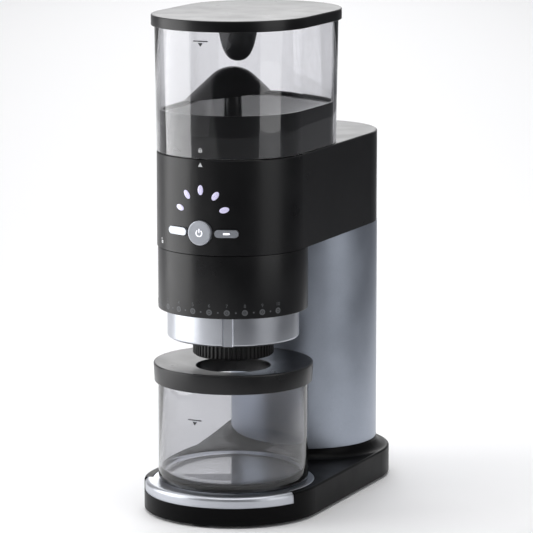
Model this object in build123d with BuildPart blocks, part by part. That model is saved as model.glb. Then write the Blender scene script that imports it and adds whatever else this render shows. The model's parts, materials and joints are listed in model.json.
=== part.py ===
from build123d import *
import os
from math import acos, cos, degrees, pi, radians, sin, sqrt, tan

# Burr coffee grinder. Origin at the centre of the base's footprint on the ground, +Z up,
# the controls face -Y. The burrs, hopper and grounds container share the front axis, and
# the motor column stands on the rear axis. Lengths are in millimetres.
FRONT_Y = -70.0
REAR_Y = 70.0

# Heights of the main joints between casings
FOOT_H = 2.0
TRAY_SEAT_Z = 16.2
TRAY_Z = 24.9
DECK_Z = 24.9
COLUMN_FOOT_Z = 33.0
OUTLET_Z = 127.2
DIAL_Z = 142.0
SCALE_Z = 165.9
HEAD_Z = 216.3
HEAD_TOP_Z = 291.9
HOPPER_Z = 292.3
HOPPER_RIM_Z = 395.0
LID_Z = 391.7
LID_TOP_Z = 400.5

# Outer radii
BASE_R = 72.0
COLUMN_R = 61.0
HEAD_R = 60.7
SCALE_R = 60.0
DIAL_R = 52.8
OUTLET_R = 31.6
HOPPER_FOOT_R = 60.6
HOPPER_RIM_R = 62.2
HOPPER_REAR_Y = -16.0
LID_R = 64.8
CONTAINER_R = 60.5

# Walls and clearances
WALL = 2.5
CLEAR = 0.35
FIT = 0.05

# Tray on the base, in front of the column
TRAY_R = 65.2
TRAY_LIP_R = 71.3
TRAY_UNDER_Z = TRAY_SEAT_Z + 2
TRAY_ROUND = 0.9
LIP_ROUND = 3.5
LIP_HALF_ANGLE = 67.0

# Drive train
MOTOR_Y = 84.0
MOTOR_R = 28.0
MOTOR_Z = 112.0
BRACKET_Z = 212.0
GEAR_MODULE = 1.5
PINION_TEETH = 14
GEAR_TEETH = 42
GEAR_Y = MOTOR_Y - GEAR_MODULE * (PINION_TEETH + GEAR_TEETH) / 2
GEAR_Z = 222.0
GEAR_H = 9.0
PULLEY_Z = 235.0
PULLEY_H = 11.0
BIG_PULLEY_R = 38.0
SMALL_PULLEY_R = 14.0
BELT_GAP = 0.35
BELT_T = 1.8
SLEEVE_BORE_R = 18.0
SLEEVE_R = 21.0
SLEEVE_Z = 197.0
SLEEVE_TOP_Z = 251.0
BUSH_R = 27.0

# Burrs
BURR_SHAFT_R = 4.0
RING_BURR_R = 32.0
RING_BURR_Z = 166.2
RING_BURR_TOP_Z = 186.2
CARRIER_R = 36.1
CHAMBER_R = 36.5
KEY_W = 6.0

# Controls on the front of the head
BUTTON_Z = 234.0
POWER_R = 9.75
PILL_L = 19.0
PILL_H = 6.0
PILL_ANGLE = 20.0
LIGHT_CENTRE_Z = 247.7
LIGHT_RADIUS = 20.0
LIGHT_ANGLES = (-76, -38, 0, 38, 76)

FRONT_AXIS = Axis((0, FRONT_Y, 0), (0, 0, 1))
REAR_AXIS = Axis((0, REAR_Y, 0), (0, 0, 1))
BOSS_Y = -60.5
BOSS_AXIS = Axis((0, BOSS_Y, 0), (0, 0, 1))

os.makedirs("parts", exist_ok=True)


def section(y):
    """Vertical plane across the object at y: local x is X and local y is height."""
    return Plane(origin=(0, y, 0), x_dir=(1, 0, 0), z_dir=(0, -1, 0))


def facing(angle, z, distance):
    """Plane tangent to a cylinder round the front axis, angle in degrees from -Y towards +X."""
    out = (sin(radians(angle)), -cos(radians(angle)), 0)
    along = (cos(radians(angle)), sin(radians(angle)), 0)
    origin = (distance * out[0], FRONT_Y + distance * out[1], z)
    return Plane(origin=origin, x_dir=along, z_dir=out)


def stadium(radius, y_front=FRONT_Y, y_rear=REAR_Y, mode=Mode.ADD):
    """Two half circles joined by straight sides, in the active sketch."""
    with Locations((0, (y_front + y_rear) / 2)):
        SlotCenterToCenter(y_rear - y_front, 2 * radius, rotation=90, mode=mode)


def ring(inner, outer, bottom, top, y=FRONT_Y, mode=Mode.ADD):
    """Upright tube, or a disc when inner is 0, in the active part."""
    with BuildSketch(Plane.XY.offset(bottom)) as profile:
        with Locations((0, y)):
            Circle(outer)
            if inner:
                Circle(inner, mode=Mode.SUBTRACT)
    extrude(profile.sketch, amount=top - bottom, mode=mode)


def turned(points, y=FRONT_Y, mode=Mode.ADD):
    """Solid of revolution round an upright axis at y, from (radius, height) corners."""
    with BuildSketch(section(y)) as profile:
        Polygon(*points, align=None)
    revolve(profile.sketch, axis=Axis((0, y, 0), (0, 0, 1)), mode=mode)


def stadium_loft(low_r, low_z, high_r, high_z, rear_low, rear_high, mode=Mode.ADD):
    """Tapered stadium between two heights, front centre on the front axis."""
    with BuildSketch(Plane.XY.offset(low_z)) as low:
        stadium(low_r, FRONT_Y, rear_low)
    with BuildSketch(Plane.XY.offset(high_z)) as high:
        stadium(high_r, FRONT_Y, rear_high)
    loft([low.sketch, high.sketch], ruled=True, mode=mode)


def tooth_sector(teeth, module, y, start, backlash=0.12):
    """Spur gear outline in the active sketch: involute teeth on a root disc."""
    pressure = radians(20)
    pitch_r = module * teeth / 2
    base_r = pitch_r * cos(pressure)
    tip_r = pitch_r + 0.95 * module
    root_r = pitch_r - 1.25 * module
    half = pi / (2 * teeth) - backlash / (2 * pitch_r)
    inv_pitch = tan(pressure) - pressure
    first_r = max(base_r, root_r)
    flank = []
    for step in range(6):
        r = first_r + (tip_r - first_r) * step / 5
        roll = acos(min(1.0, base_r / r))
        flank.append((r, half + inv_pitch - (tan(roll) - roll)))
    foot = [(root_r * 0.97, flank[0][1])]
    right = [(r * cos(a), -r * sin(a)) for r, a in foot + flank]
    left = [(r * cos(a), r * sin(a)) for r, a in reversed(foot + flank)]
    with Locations((0, y)):
        Circle(root_r)
        with PolarLocations(0, teeth, start_angle=start):
            Polygon(*(right + left), align=None)


def finish(builder, name):
    """Name the piece and write its file."""
    builder.part.label = name
    export_step(builder.part, "parts/" + name + ".step")


# ---------------------------------------------------------------- base

CAVITY_TOP_Z = 13.4
PLATE_T = 2.4
PLATE_TOP_Z = FOOT_H + PLATE_T
SCREW_R = 1.4
SCREW_HEAD_R = 2.8
BOSS_R = 4.0
BASE_SCREW_L = 9.0
BASE_SCREW_BORE = 8.0
COLLAR_R = 69.0
COLLAR_ROUND = 9.0
COLLAR_TOP_R = COLUMN_R + 0.3
BASE_BOSSES = ((-52, -78), (52, -78), (-46, 112), (46, 112))
FEET = ((0, -130), (60, 45), (-60, 45))
FOOT_R = 8.5
WEDGE_REACH = 110.0
GLAND_Z = 14.0
GLAND_R = 6.0
GLAND_FLANGE_T = 1.5
BACK_Y = REAR_Y + BASE_R


def front_wedge():
    """Region ahead of the front axis, between the ends of the tray's lip."""
    side = WEDGE_REACH / tan(radians(LIP_HALF_ANGLE))
    Polygon(
        (0, FRONT_Y),
        (WEDGE_REACH, FRONT_Y - side),
        (WEDGE_REACH, FRONT_Y - WEDGE_REACH),
        (-WEDGE_REACH, FRONT_Y - WEDGE_REACH),
        (-WEDGE_REACH, FRONT_Y - side),
        align=None,
    )


# Moulded base: low plinth, with a flared collar that the column stands on
with BuildPart() as base_shell:
    with BuildSketch(Plane.XY.offset(FOOT_H)):
        stadium(BASE_R)
    extrude(amount=DECK_Z - FOOT_H)
    fillet(base_shell.edges().group_by(Axis.Z)[-1], 1.6)
    fillet(base_shell.edges().group_by(Axis.Z)[0], 0.6)
    with BuildSketch(section(REAR_Y)):
        with BuildLine():
            Polyline((0, COLUMN_FOOT_Z), (0, CAVITY_TOP_Z), (COLLAR_R, CAVITY_TOP_Z), (COLLAR_R, DECK_Z))
            RadiusArc((COLLAR_R, DECK_Z), (COLLAR_TOP_R, COLUMN_FOOT_Z), COLLAR_ROUND)
            Line((COLLAR_TOP_R, COLUMN_FOOT_Z), (0, COLUMN_FOOT_Z))
        make_face()
    revolve(axis=REAR_AXIS)
    # room for the tray and its lip
    with BuildSketch(Plane.XY.offset(TRAY_SEAT_Z)):
        front_wedge()
    extrude(amount=DECK_Z, mode=Mode.SUBTRACT)
    ring(0, TRAY_R + 0.3, TRAY_UNDER_Z, 2 * DECK_Z, mode=Mode.SUBTRACT)
    # inside
    with BuildSketch(Plane.XY.offset(FOOT_H)):
        stadium(BASE_R - WALL)
    extrude(amount=CAVITY_TOP_Z - FOOT_H, mode=Mode.SUBTRACT)
    ring(0, COLUMN_R - 5, FOOT_H, COLUMN_FOOT_Z - 3, REAR_Y, mode=Mode.SUBTRACT)
    ring(0, 22, FOOT_H, 2 * COLUMN_FOOT_Z, REAR_Y, mode=Mode.SUBTRACT)
    with BuildSketch(Plane.XY.offset(PLATE_TOP_Z)):
        with Locations(*BASE_BOSSES):
            Circle(BOSS_R)
    extrude(amount=CAVITY_TOP_Z - PLATE_TOP_Z + 1)
    with BuildSketch(Plane.XY.offset(PLATE_TOP_Z)):
        with Locations(*BASE_BOSSES):
            Circle(SCREW_R + FIT)
    extrude(amount=BASE_SCREW_BORE, mode=Mode.SUBTRACT)
    with BuildSketch(Plane.XZ.offset(-BACK_Y + 2 * WALL)):
        with Locations((0, GLAND_Z)):
            Circle(GLAND_R + FIT)
    extrude(amount=-3 * WALL, mode=Mode.SUBTRACT)
    with BuildSketch(Plane.XZ.offset(-BACK_Y + GLAND_FLANGE_T)):
        with Locations((0, GLAND_Z)):
            Circle(GLAND_R + 1.5)
    extrude(amount=-WALL, mode=Mode.SUBTRACT)
finish(base_shell, "base_shell")

# Pressed plate that closes the base from below
with BuildPart() as base_plate:
    with BuildSketch(Plane.XY.offset(FOOT_H)):
        stadium(BASE_R - WALL - 0.2)
    extrude(amount=PLATE_T)
    with Locations(Plane.XY.offset(FOOT_H)):
        with Locations(*[Location((x, y, 0), (180, 0, 0)) for x, y in BASE_BOSSES]):
            CounterSinkHole(SCREW_R + FIT, SCREW_HEAD_R + FIT, depth=PLATE_T, counter_sink_angle=90)
    with BuildSketch(Plane.XY.offset(FOOT_H)):
        with Locations((0, REAR_Y)):
            with GridLocations(7, 0, 7, 1):
                SlotOverall(30, 3, rotation=90)
    extrude(amount=PLATE_T, mode=Mode.SUBTRACT)
finish(base_plate, "base_plate")

with BuildPart() as rubber_feet:
    with BuildSketch():
        with Locations(*FEET):
            Circle(FOOT_R)
    extrude(amount=FOOT_H)
    fillet(rubber_feet.edges().group_by(Axis.Z)[0], 0.8)
finish(rubber_feet, "rubber_feet")


def countersunk_screws(places, z, length):
    """Flat-head screws driven upwards, heads flush with z."""
    cone = SCREW_HEAD_R - SCREW_R
    with BuildSketch(Plane.XY.offset(z)) as shanks:
        with Locations(*places):
            Circle(SCREW_R)
    extrude(shanks.sketch, amount=length)
    for x, y in places:
        with Locations((x, y, z + cone / 2)):
            Cone(SCREW_HEAD_R, SCREW_R, cone)
        with Locations((x, y, z)):
            Box(3.6, 0.7, 1.2, mode=Mode.SUBTRACT)
            Box(0.7, 3.6, 1.2, mode=Mode.SUBTRACT)


with BuildPart() as base_screws:
    countersunk_screws(BASE_BOSSES, FOOT_H, BASE_SCREW_L)
finish(base_screws, "base_screws")


def rounded_disc(radius, bottom, top, rounding, start=0, sweep=360):
    """Disc round the front axis, or a sector of it, with a rounded top edge, in the active part."""
    out = (cos(radians(start)), sin(radians(start)), 0)
    side = (sin(radians(start)), -cos(radians(start)), 0)
    with BuildSketch(Plane(origin=(0, FRONT_Y, 0), x_dir=out, z_dir=side)) as profile:
        with BuildLine():
            Polyline((0, top), (0, bottom), (radius, bottom), (radius, top - rounding))
            CenterArc((radius - rounding, top - rounding), rounding, 0, 90)
            Line((radius - rounding, top), (0, top))
        make_face()
    revolve(profile.sketch, axis=FRONT_AXIS, revolution_arc=sweep)


# Metal tray that the container stands on: a disc with a rounded lip over the front of the base
with BuildPart() as container_tray:
    rounded_disc(TRAY_R, TRAY_UNDER_Z, TRAY_Z, TRAY_ROUND)
    rounded_disc(
        TRAY_LIP_R, TRAY_SEAT_Z, TRAY_Z, LIP_ROUND,
        start=270 - LIP_HALF_ANGLE, sweep=2 * LIP_HALF_ANGLE,
    )
finish(container_tray, "container_tray")

# Bush in the back of the base for the supply cord
with BuildPart() as cord_gland:
    with BuildSketch(Plane.XZ.offset(-BACK_Y + WALL + 1.5)):
        with Locations((0, GLAND_Z)):
            Circle(GLAND_R)
    extrude(amount=-WALL - 1.4)
    with BuildSketch(Plane.XZ.offset(-BACK_Y + GLAND_FLANGE_T)):
        with Locations((0, GLAND_Z)):
            Circle(GLAND_R + 1.4)
    extrude(amount=-GLAND_FLANGE_T)
    fillet(cord_gland.edges().group_by(Axis.Y)[-1], 0.6)
    with BuildSketch(Plane.XZ.offset(-BACK_Y + 3 * WALL)):
        with Locations((0, GLAND_Z)):
            Circle(GLAND_R - 2.4)
    extrude(amount=-6 * WALL, mode=Mode.SUBTRACT)
finish(cord_gland, "cord_gland")

# ---------------------------------------------------------------- column

with BuildPart() as column_shell:
    ring(COLUMN_R - 2, COLUMN_R, COLUMN_FOOT_Z, HEAD_Z, REAR_Y)
finish(column_shell, "column_shell")

with BuildPart() as column_liner:
    ring(COLUMN_R - 5, COLUMN_R - 2.1, COLUMN_FOOT_Z, BRACKET_Z, REAR_Y)
finish(column_liner, "column_liner")

MOTOR_SCREWS = [(sx * 16.0, MOTOR_Y + sy * 16.0) for sx in (-1, 1) for sy in (-1, 1)]

# Steel plate on top of the column, which the motor hangs from
with BuildPart() as motor_bracket:
    ring(0, COLUMN_R - 2.1, BRACKET_Z, HEAD_Z, REAR_Y)
    ring(0, 9, BRACKET_Z, HEAD_Z, MOTOR_Y, mode=Mode.SUBTRACT)
    with BuildSketch(Plane.XY.offset(BRACKET_Z)):
        with Locations(*MOTOR_SCREWS):
            Circle(SCREW_R + FIT)
        with Locations((0, 36)):
            SlotOverall(40, 12)
    extrude(amount=HEAD_Z - BRACKET_Z, mode=Mode.SUBTRACT)
finish(motor_bracket, "motor_bracket")

with BuildPart() as motor_screws:
    with BuildSketch(Plane.XY.offset(BRACKET_Z - 7)):
        with Locations(*MOTOR_SCREWS):
            Circle(SCREW_R)
    extrude(amount=HEAD_Z - BRACKET_Z + 7)
    with BuildSketch(Plane.XY.offset(HEAD_Z)):
        with Locations(*MOTOR_SCREWS):
            Circle(SCREW_HEAD_R)
            RegularPolygon(1.4, 6, mode=Mode.SUBTRACT)
    extrude(amount=2)
finish(motor_screws, "motor_screws")

MOTOR_SHAFT_R = 2.5

with BuildPart() as motor_can:
    ring(MOTOR_R - 1.5, MOTOR_R, MOTOR_Z + 6, BRACKET_Z, MOTOR_Y)
    ring(8.05, MOTOR_R, BRACKET_Z - 4, BRACKET_Z, MOTOR_Y)
    with BuildSketch(Plane.XY.offset(BRACKET_Z - 8)):
        with Locations(*MOTOR_SCREWS):
            Circle(3)
    extrude(amount=4)
    with BuildSketch(Plane.XY.offset(BRACKET_Z - 7)):
        with Locations(*MOTOR_SCREWS):
            Circle(SCREW_R + FIT)
    extrude(amount=7, mode=Mode.SUBTRACT)
finish(motor_can, "motor_can")

with BuildPart() as motor_end_cap:
    ring(8.05, MOTOR_R, MOTOR_Z, MOTOR_Z + 6, MOTOR_Y)
    ring(8.05, MOTOR_R - 4, MOTOR_Z + 3, MOTOR_Z + 6, MOTOR_Y, mode=Mode.SUBTRACT)
    ring(8.05, 11, MOTOR_Z, MOTOR_Z + 6, MOTOR_Y)
finish(motor_end_cap, "motor_end_cap")

with BuildPart() as motor_magnets:
    ring(21.5, MOTOR_R - 1.6, MOTOR_Z + 26, BRACKET_Z - 22, MOTOR_Y)
    with Locations((0, MOTOR_Y, (MOTOR_Z + BRACKET_Z) / 2)):
        Box(16, 80, 120, mode=Mode.SUBTRACT)
finish(motor_magnets, "motor_magnets")

with BuildPart() as motor_bushes:
    for low in (MOTOR_Z, BRACKET_Z - 4):
        ring(MOTOR_SHAFT_R + FIT, 8, low, low + 6 if low == MOTOR_Z else low + 4, MOTOR_Y)
finish(motor_bushes, "motor_bushes")

with BuildPart() as motor_shaft:
    ring(0, MOTOR_SHAFT_R, MOTOR_Z - 3, GEAR_Z + GEAR_H + 2, MOTOR_Y)
    chamfer(motor_shaft.edges().group_by(Axis.Z)[-1], 0.5)
finish(motor_shaft, "motor_shaft")

# Laminated armature with slots, and the commutator below it
with BuildPart() as motor_armature:
    ring(MOTOR_SHAFT_R + 0.02, 20, MOTOR_Z + 34, BRACKET_Z - 26, MOTOR_Y)
    with BuildSketch(Plane.XY.offset(MOTOR_Z + 34)):
        with Locations((0, MOTOR_Y)):
            with PolarLocations(14.5, 10):
                Circle(2.6)
            with PolarLocations(18, 10):
                Rectangle(6, 1.4)
    extrude(amount=BRACKET_Z, mode=Mode.SUBTRACT)
    ring(MOTOR_SHAFT_R + 0.02, 9, MOTOR_Z + 12, MOTOR_Z + 34, MOTOR_Y)
finish(motor_armature, "motor_armature")

with BuildPart() as power_board:
    with Locations((0, REAR_Y - 36, 105)):
        Box(66, 1.6, 96)
    with Locations((-14, REAR_Y - 31.2, 125)):
        Box(26, 8, 22)
    with Locations((16, REAR_Y - 31.2, 88)):
        Box(18, 8, 30)
finish(power_board, "power_board")

# ---------------------------------------------------------------- head

CHASSIS_T = 3.0
CHASSIS_TOP_Z = HEAD_Z + CHASSIS_T
CHASSIS_SCREWS = ((-44, -42), (44, -42), (-46, 70), (46, 70))
THROAT_FLANGE_R = 32.0
THROAT_BORE_R = 18.3
THROAT_R = 21.0
THROAT_Z = 254.0
COUNTERSHAFT_R = 4.0


def light_places():
    """Angle round the head, height and tilt of each bean-shaped light."""
    for tilt in LIGHT_ANGLES:
        across = LIGHT_RADIUS * sin(radians(tilt))
        up = LIGHT_RADIUS * cos(radians(tilt))
        yield degrees(across / HEAD_R), LIGHT_CENTRE_Z + up, tilt


# Long housing over both axes
with BuildPart() as head_housing:
    with BuildSketch(Plane.XY.offset(HEAD_Z)):
        stadium(HEAD_R)
    extrude(amount=HEAD_TOP_Z - HEAD_Z)
    fillet(head_housing.edges().group_by(Axis.Z)[-1], 1.2)
    with BuildSketch(Plane.XY.offset(HEAD_Z)):
        stadium(HEAD_R - WALL)
    extrude(amount=HEAD_TOP_Z - HEAD_Z - 3, mode=Mode.SUBTRACT)
    ring(0, THROAT_FLANGE_R + 0.1, HEAD_TOP_Z - 4, HEAD_TOP_Z + 1, mode=Mode.SUBTRACT)
    with BuildSketch(facing(0, BUTTON_Z, HEAD_R - 7)):
        Circle(POWER_R + CLEAR)
    extrude(amount=12, mode=Mode.SUBTRACT)
    for side in (-1, 1):
        with BuildSketch(facing(side * PILL_ANGLE, BUTTON_Z, HEAD_R - 7)):
            SlotOverall(PILL_L + 2 * CLEAR, PILL_H + 2 * CLEAR)
        extrude(amount=12, mode=Mode.SUBTRACT)
    for angle, height, tilt in light_places():
        with BuildSketch(facing(angle, height, HEAD_R - 7)):
            Ellipse(2.35, 4.0, rotation=-tilt)
        extrude(amount=12, mode=Mode.SUBTRACT)
finish(head_housing, "head_housing")

with BuildPart() as bean_lights:
    for angle, height, tilt in light_places():
        with BuildSketch(facing(angle, height, HEAD_R - 4.5)):
            Ellipse(2.3, 3.95, rotation=-tilt)
        extrude(amount=4.65)
finish(bean_lights, "bean_lights")

# Floor of the head: carries the sleeve's upper bush and the countershaft
with BuildPart() as head_chassis:
    with BuildSketch(Plane.XY.offset(HEAD_Z)):
        stadium(HEAD_R - WALL - 0.3)
    extrude(amount=CHASSIS_T)
    ring(BUSH_R, BUSH_R + 4, CHASSIS_TOP_Z, CHASSIS_TOP_Z + 11)
    ring(0, BUSH_R + 0.03, HEAD_Z - 1, CHASSIS_TOP_Z + 12, mode=Mode.SUBTRACT)
    ring(0, 26, HEAD_Z, CHASSIS_TOP_Z, MOTOR_Y, mode=Mode.SUBTRACT)
    with BuildSketch(Plane.XY.offset(HEAD_Z)):
        with Locations(*CHASSIS_SCREWS):
            Circle(SCREW_R + FIT)
        with Locations((0, GEAR_Y)):
            Circle(COUNTERSHAFT_R + 0.02)
    extrude(amount=CHASSIS_T, mode=Mode.SUBTRACT)
finish(head_chassis, "head_chassis")

with BuildPart() as chassis_screws:
    with BuildSketch(Plane.XY.offset(HEAD_Z)):
        with Locations(*CHASSIS_SCREWS):
            Circle(SCREW_R)
    extrude(amount=CHASSIS_T)
    with BuildSketch(Plane.XY.offset(CHASSIS_TOP_Z)):
        with Locations(*CHASSIS_SCREWS):
            Circle(SCREW_HEAD_R)
            RegularPolygon(1.4, 6, mode=Mode.SUBTRACT)
    extrude(amount=2)
finish(chassis_screws, "chassis_screws")

with BuildPart() as countershaft:
    ring(0, COUNTERSHAFT_R, HEAD_Z, PULLEY_Z + PULLEY_H + 4, GEAR_Y)
    chamfer(countershaft.edges().group_by(Axis.Z)[-1], 0.6)
finish(countershaft, "countershaft")

# Tube that leads the beans from the hopper to the drive sleeve, with a recess for the lock ring
LOCK_RECESS_R = 28.0
LOCK_TURN = 45.0
LOCK_FLOOR_Z = HEAD_TOP_Z - 8
with BuildPart() as bean_throat:
    ring(THROAT_BORE_R, THROAT_R, THROAT_Z, LOCK_FLOOR_Z)
    ring(THROAT_BORE_R, THROAT_FLANGE_R, LOCK_FLOOR_Z - 2.5, LOCK_FLOOR_Z)
    ring(LOCK_RECESS_R, THROAT_FLANGE_R, LOCK_FLOOR_Z, HEAD_TOP_Z)
    with BuildSketch(Plane.XY.offset(LOCK_FLOOR_Z + 4.6)):
        with Locations((0, FRONT_Y)):
            Circle(LOCK_RECESS_R + 1)
            Circle(LOCK_RECESS_R - 2, mode=Mode.SUBTRACT)
            with PolarLocations(LOCK_RECESS_R - 1, 3, start_angle=30 - LOCK_TURN):
                Rectangle(12, 22, mode=Mode.SUBTRACT)
    extrude(amount=3.2)
finish(bean_throat, "bean_throat")

with BuildPart() as control_board:
    with Locations((0, FRONT_Y - 44.8, 250)):
        Box(60, 1.6, 54)
    with Locations((0, FRONT_Y - 43, 268)):
        Box(14, 2, 14)
finish(control_board, "control_board")

# Rubber mat with a dome under each button
with BuildPart() as keypad_mat:
    with Locations((0, FRONT_Y - 46.0, BUTTON_Z)):
        Box(56, 0.8, 18)
finish(keypad_mat, "keypad_mat")

with BuildPart() as hopper_switch:
    with Locations((40, -30, HEAD_TOP_Z - 12)):
        Box(10, 20, 12)
    with Locations((40, -30, HEAD_TOP_Z - 5)):
        Box(3, 5, 2)
finish(hopper_switch, "hopper_switch")

# ---------------------------------------------------------------- drive train

with BuildPart() as drive_pinion:
    with BuildSketch(Plane.XY.offset(GEAR_Z)):
        tooth_sector(PINION_TEETH, GEAR_MODULE, MOTOR_Y, 270 + 180 / PINION_TEETH)
    extrude(amount=GEAR_H)
    ring(0, MOTOR_SHAFT_R + 0.02, GEAR_Z - 1, GEAR_Z + GEAR_H + 1, MOTOR_Y, mode=Mode.SUBTRACT)
finish(drive_pinion, "drive_pinion")

with BuildPart() as reduction_gear:
    with BuildSketch(Plane.XY.offset(GEAR_Z)):
        tooth_sector(GEAR_TEETH, GEAR_MODULE, GEAR_Y, 90)
    extrude(amount=GEAR_H)
    ring(0, 7, CHASSIS_TOP_Z + 0.4, PULLEY_Z, GEAR_Y)
    with BuildSketch(Plane.XY.offset(GEAR_Z)):
        with Locations((0, GEAR_Y)):
            with PolarLocations(17, 6):
                Circle(5)
    extrude(amount=GEAR_H, mode=Mode.SUBTRACT)
    ring(0, COUNTERSHAFT_R + FIT, HEAD_Z, PULLEY_Z + 1, GEAR_Y, mode=Mode.SUBTRACT)
finish(reduction_gear, "reduction_gear")


def pulley(bore, radius, y):
    """Flat-belt pulley with a flange above and below the belt."""
    ring(bore, radius, PULLEY_Z, PULLEY_Z + PULLEY_H, y)
    ring(bore, radius + 2.5, PULLEY_Z, PULLEY_Z + 1.2, y)
    ring(bore, radius + 2.5, PULLEY_Z + PULLEY_H - 1.2, PULLEY_Z + PULLEY_H, y)


with BuildPart() as small_pulley:
    pulley(COUNTERSHAFT_R + FIT, SMALL_PULLEY_R, GEAR_Y)
finish(small_pulley, "small_pulley")

with BuildPart() as burr_pulley:
    pulley(SLEEVE_R + 0.02, BIG_PULLEY_R, FRONT_Y)
    with BuildSketch(Plane.XY.offset(PULLEY_Z)):
        with Locations((0, FRONT_Y)):
            with PolarLocations(29.5, 8):
                Circle(5)
    extrude(amount=PULLEY_H, mode=Mode.SUBTRACT)
finish(burr_pulley, "burr_pulley")


def belt_outline(extra, mode=Mode.ADD):
    """Closed run round both pulleys, extra beyond their rims, in the active sketch."""
    big = BIG_PULLEY_R + extra
    small = SMALL_PULLEY_R + extra
    span = GEAR_Y - FRONT_Y
    lean = (big - small) / span
    side = sqrt(1 - lean * lean)
    big_tip = (big * side, FRONT_Y + big * lean)
    small_tip = (small * side, GEAR_Y + small * lean)
    with BuildLine() as outline:
        Line(big_tip, small_tip)
        ThreePointArc(small_tip, (0, GEAR_Y + small), (-small_tip[0], small_tip[1]))
        Line((-small_tip[0], small_tip[1]), (-big_tip[0], big_tip[1]))
        ThreePointArc((-big_tip[0], big_tip[1]), (0, FRONT_Y - big), big_tip)
    make_face(outline.line.edges(), mode=mode)


with BuildPart() as drive_belt:
    with BuildSketch(Plane.XY.offset(PULLEY_Z + 1.6)):
        belt_outline(BELT_GAP + BELT_T)
        belt_outline(BELT_GAP, mode=Mode.SUBTRACT)
    extrude(amount=PULLEY_H - 3.2)
finish(drive_belt, "drive_belt")

# Hollow shaft that the beans fall through; three spokes at its foot carry the burr shaft
with BuildPart() as drive_sleeve:
    ring(SLEEVE_BORE_R, SLEEVE_R, SLEEVE_Z, SLEEVE_TOP_Z)
    ring(0, 6, SLEEVE_Z + 2, SLEEVE_Z + 9)
    with BuildSketch(Plane.XY.offset(SLEEVE_Z + 2)):
        with Locations((0, FRONT_Y)):
            with PolarLocations(11.5, 3, start_angle=90):
                Rectangle(14, 3)
    extrude(amount=5)
    ring(0, BURR_SHAFT_R + 0.02, SLEEVE_Z, SLEEVE_Z + 7, mode=Mode.SUBTRACT)
finish(drive_sleeve, "drive_sleeve")

with BuildPart() as sleeve_bushes:
    ring(SLEEVE_R + FIT, BUSH_R, 204, 212)
    ring(SLEEVE_R + FIT, BUSH_R, HEAD_Z + 2, HEAD_Z + 12)
finish(sleeve_bushes, "sleeve_bushes")

with BuildPart() as burr_shaft:
    ring(0, BURR_SHAFT_R, 160, SLEEVE_Z + 7)
finish(burr_shaft, "burr_shaft")

# Steel cone with steep feeding flutes above and fine cutting flutes below
with BuildPart() as cone_burr:
    turned([(0, 192), (7, 192), (11, 184), (17, 176), (21.6, 168), (20.5, 166.5), (0, 166.5)])
    for place in PolarLocations(17.5, 6).locations:
        with Locations(Pos(0, FRONT_Y, 184) * place * Rot(28, -32, 0)):
            Box(9, 3.6, 22, mode=Mode.SUBTRACT)
    for place in PolarLocations(22.6, 30).locations:
        with Locations(Pos(0, FRONT_Y, 170) * place * Rot(22, -24, 0)):
            Box(2.6, 1.3, 9, mode=Mode.SUBTRACT)
    ring(0, BURR_SHAFT_R + 0.03, 160, 200, mode=Mode.SUBTRACT)
finish(cone_burr, "cone_burr")

with BuildPart() as burr_nut:
    with BuildSketch(Plane.XY.offset(161)):
        with Locations((0, FRONT_Y)):
            RegularPolygon(7.5, 6)
            Circle(BURR_SHAFT_R + 0.03, mode=Mode.SUBTRACT)
    extrude(amount=5.4)
finish(burr_nut, "burr_nut")

# ---------------------------------------------------------------- burr housing

RING_BURR_PROFILE = [
    (21.6, RING_BURR_TOP_Z), (20.6, 177), (22.5, 168), (23.2, RING_BURR_Z),
    (RING_BURR_R, RING_BURR_Z), (RING_BURR_R, RING_BURR_TOP_Z),
]

with BuildPart() as ring_burr:
    turned(RING_BURR_PROFILE)
    for place in PolarLocations(21.2, 36).locations:
        with Locations(Pos(0, FRONT_Y, 171) * place * Rot(-18, 0, 0)):
            Box(1.6, 1.2, 16, mode=Mode.SUBTRACT)
finish(ring_burr, "ring_burr")

# Carrier of the ring burr: keyed against turning, raised and lowered by the dial's thread
with BuildPart() as burr_carrier:
    ring(RING_BURR_R + 0.05, CARRIER_R, 148.5, 189)
    ring(22, CARRIER_R, RING_BURR_TOP_Z + 0.05, 189)
    ring(22, 25, 189, 199)
    ring(CARRIER_R - 1, 43.4, 149, 159)
    for low in (150, 153, 156):
        turned([(43, low), (44.0, low + 0.6), (44.0, low + 1.2), (43, low + 1.8)])
    with BuildSketch(Plane.XY.offset(159)):
        with Locations((0, FRONT_Y)):
            with PolarLocations(CARRIER_R + 1.2, 3, start_angle=90):
                Rectangle(4.6, KEY_W)
    extrude(amount=28)
finish(burr_carrier, "burr_carrier")

with BuildPart() as burr_clamp_ring:
    ring(27, RING_BURR_R, 160, RING_BURR_Z)
    with BuildSketch(Plane.XY.offset(160)):
        with Locations((0, FRONT_Y)):
            with PolarLocations(27, 4):
                Rectangle(5, 5)
    extrude(amount=2.5, mode=Mode.SUBTRACT)
finish(burr_clamp_ring, "burr_clamp_ring")

# Fixed chamber under the head: key slots inside, guide skirt for the dial below
with BuildPart() as burr_chamber:
    ring(CHAMBER_R, 43, 168, 213)
    ring(BUSH_R + 0.03, CHAMBER_R + 1, 203, 213)
    ring(BUSH_R + 0.03, SCALE_R - 2.8, 212.8, HEAD_Z)
    ring(CHAMBER_R, SCALE_R - 2.8, 168, 171)
    ring(47.4, 49.6, 151, 169)
    with BuildSketch(Plane.XY.offset(168)):
        with Locations((0, FRONT_Y)):
            with PolarLocations(CARRIER_R + 1.2, 3, start_angle=90):
                Rectangle(5.6, KEY_W + 0.8)
    extrude(amount=21, mode=Mode.SUBTRACT)
finish(burr_chamber, "burr_chamber")

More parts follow.
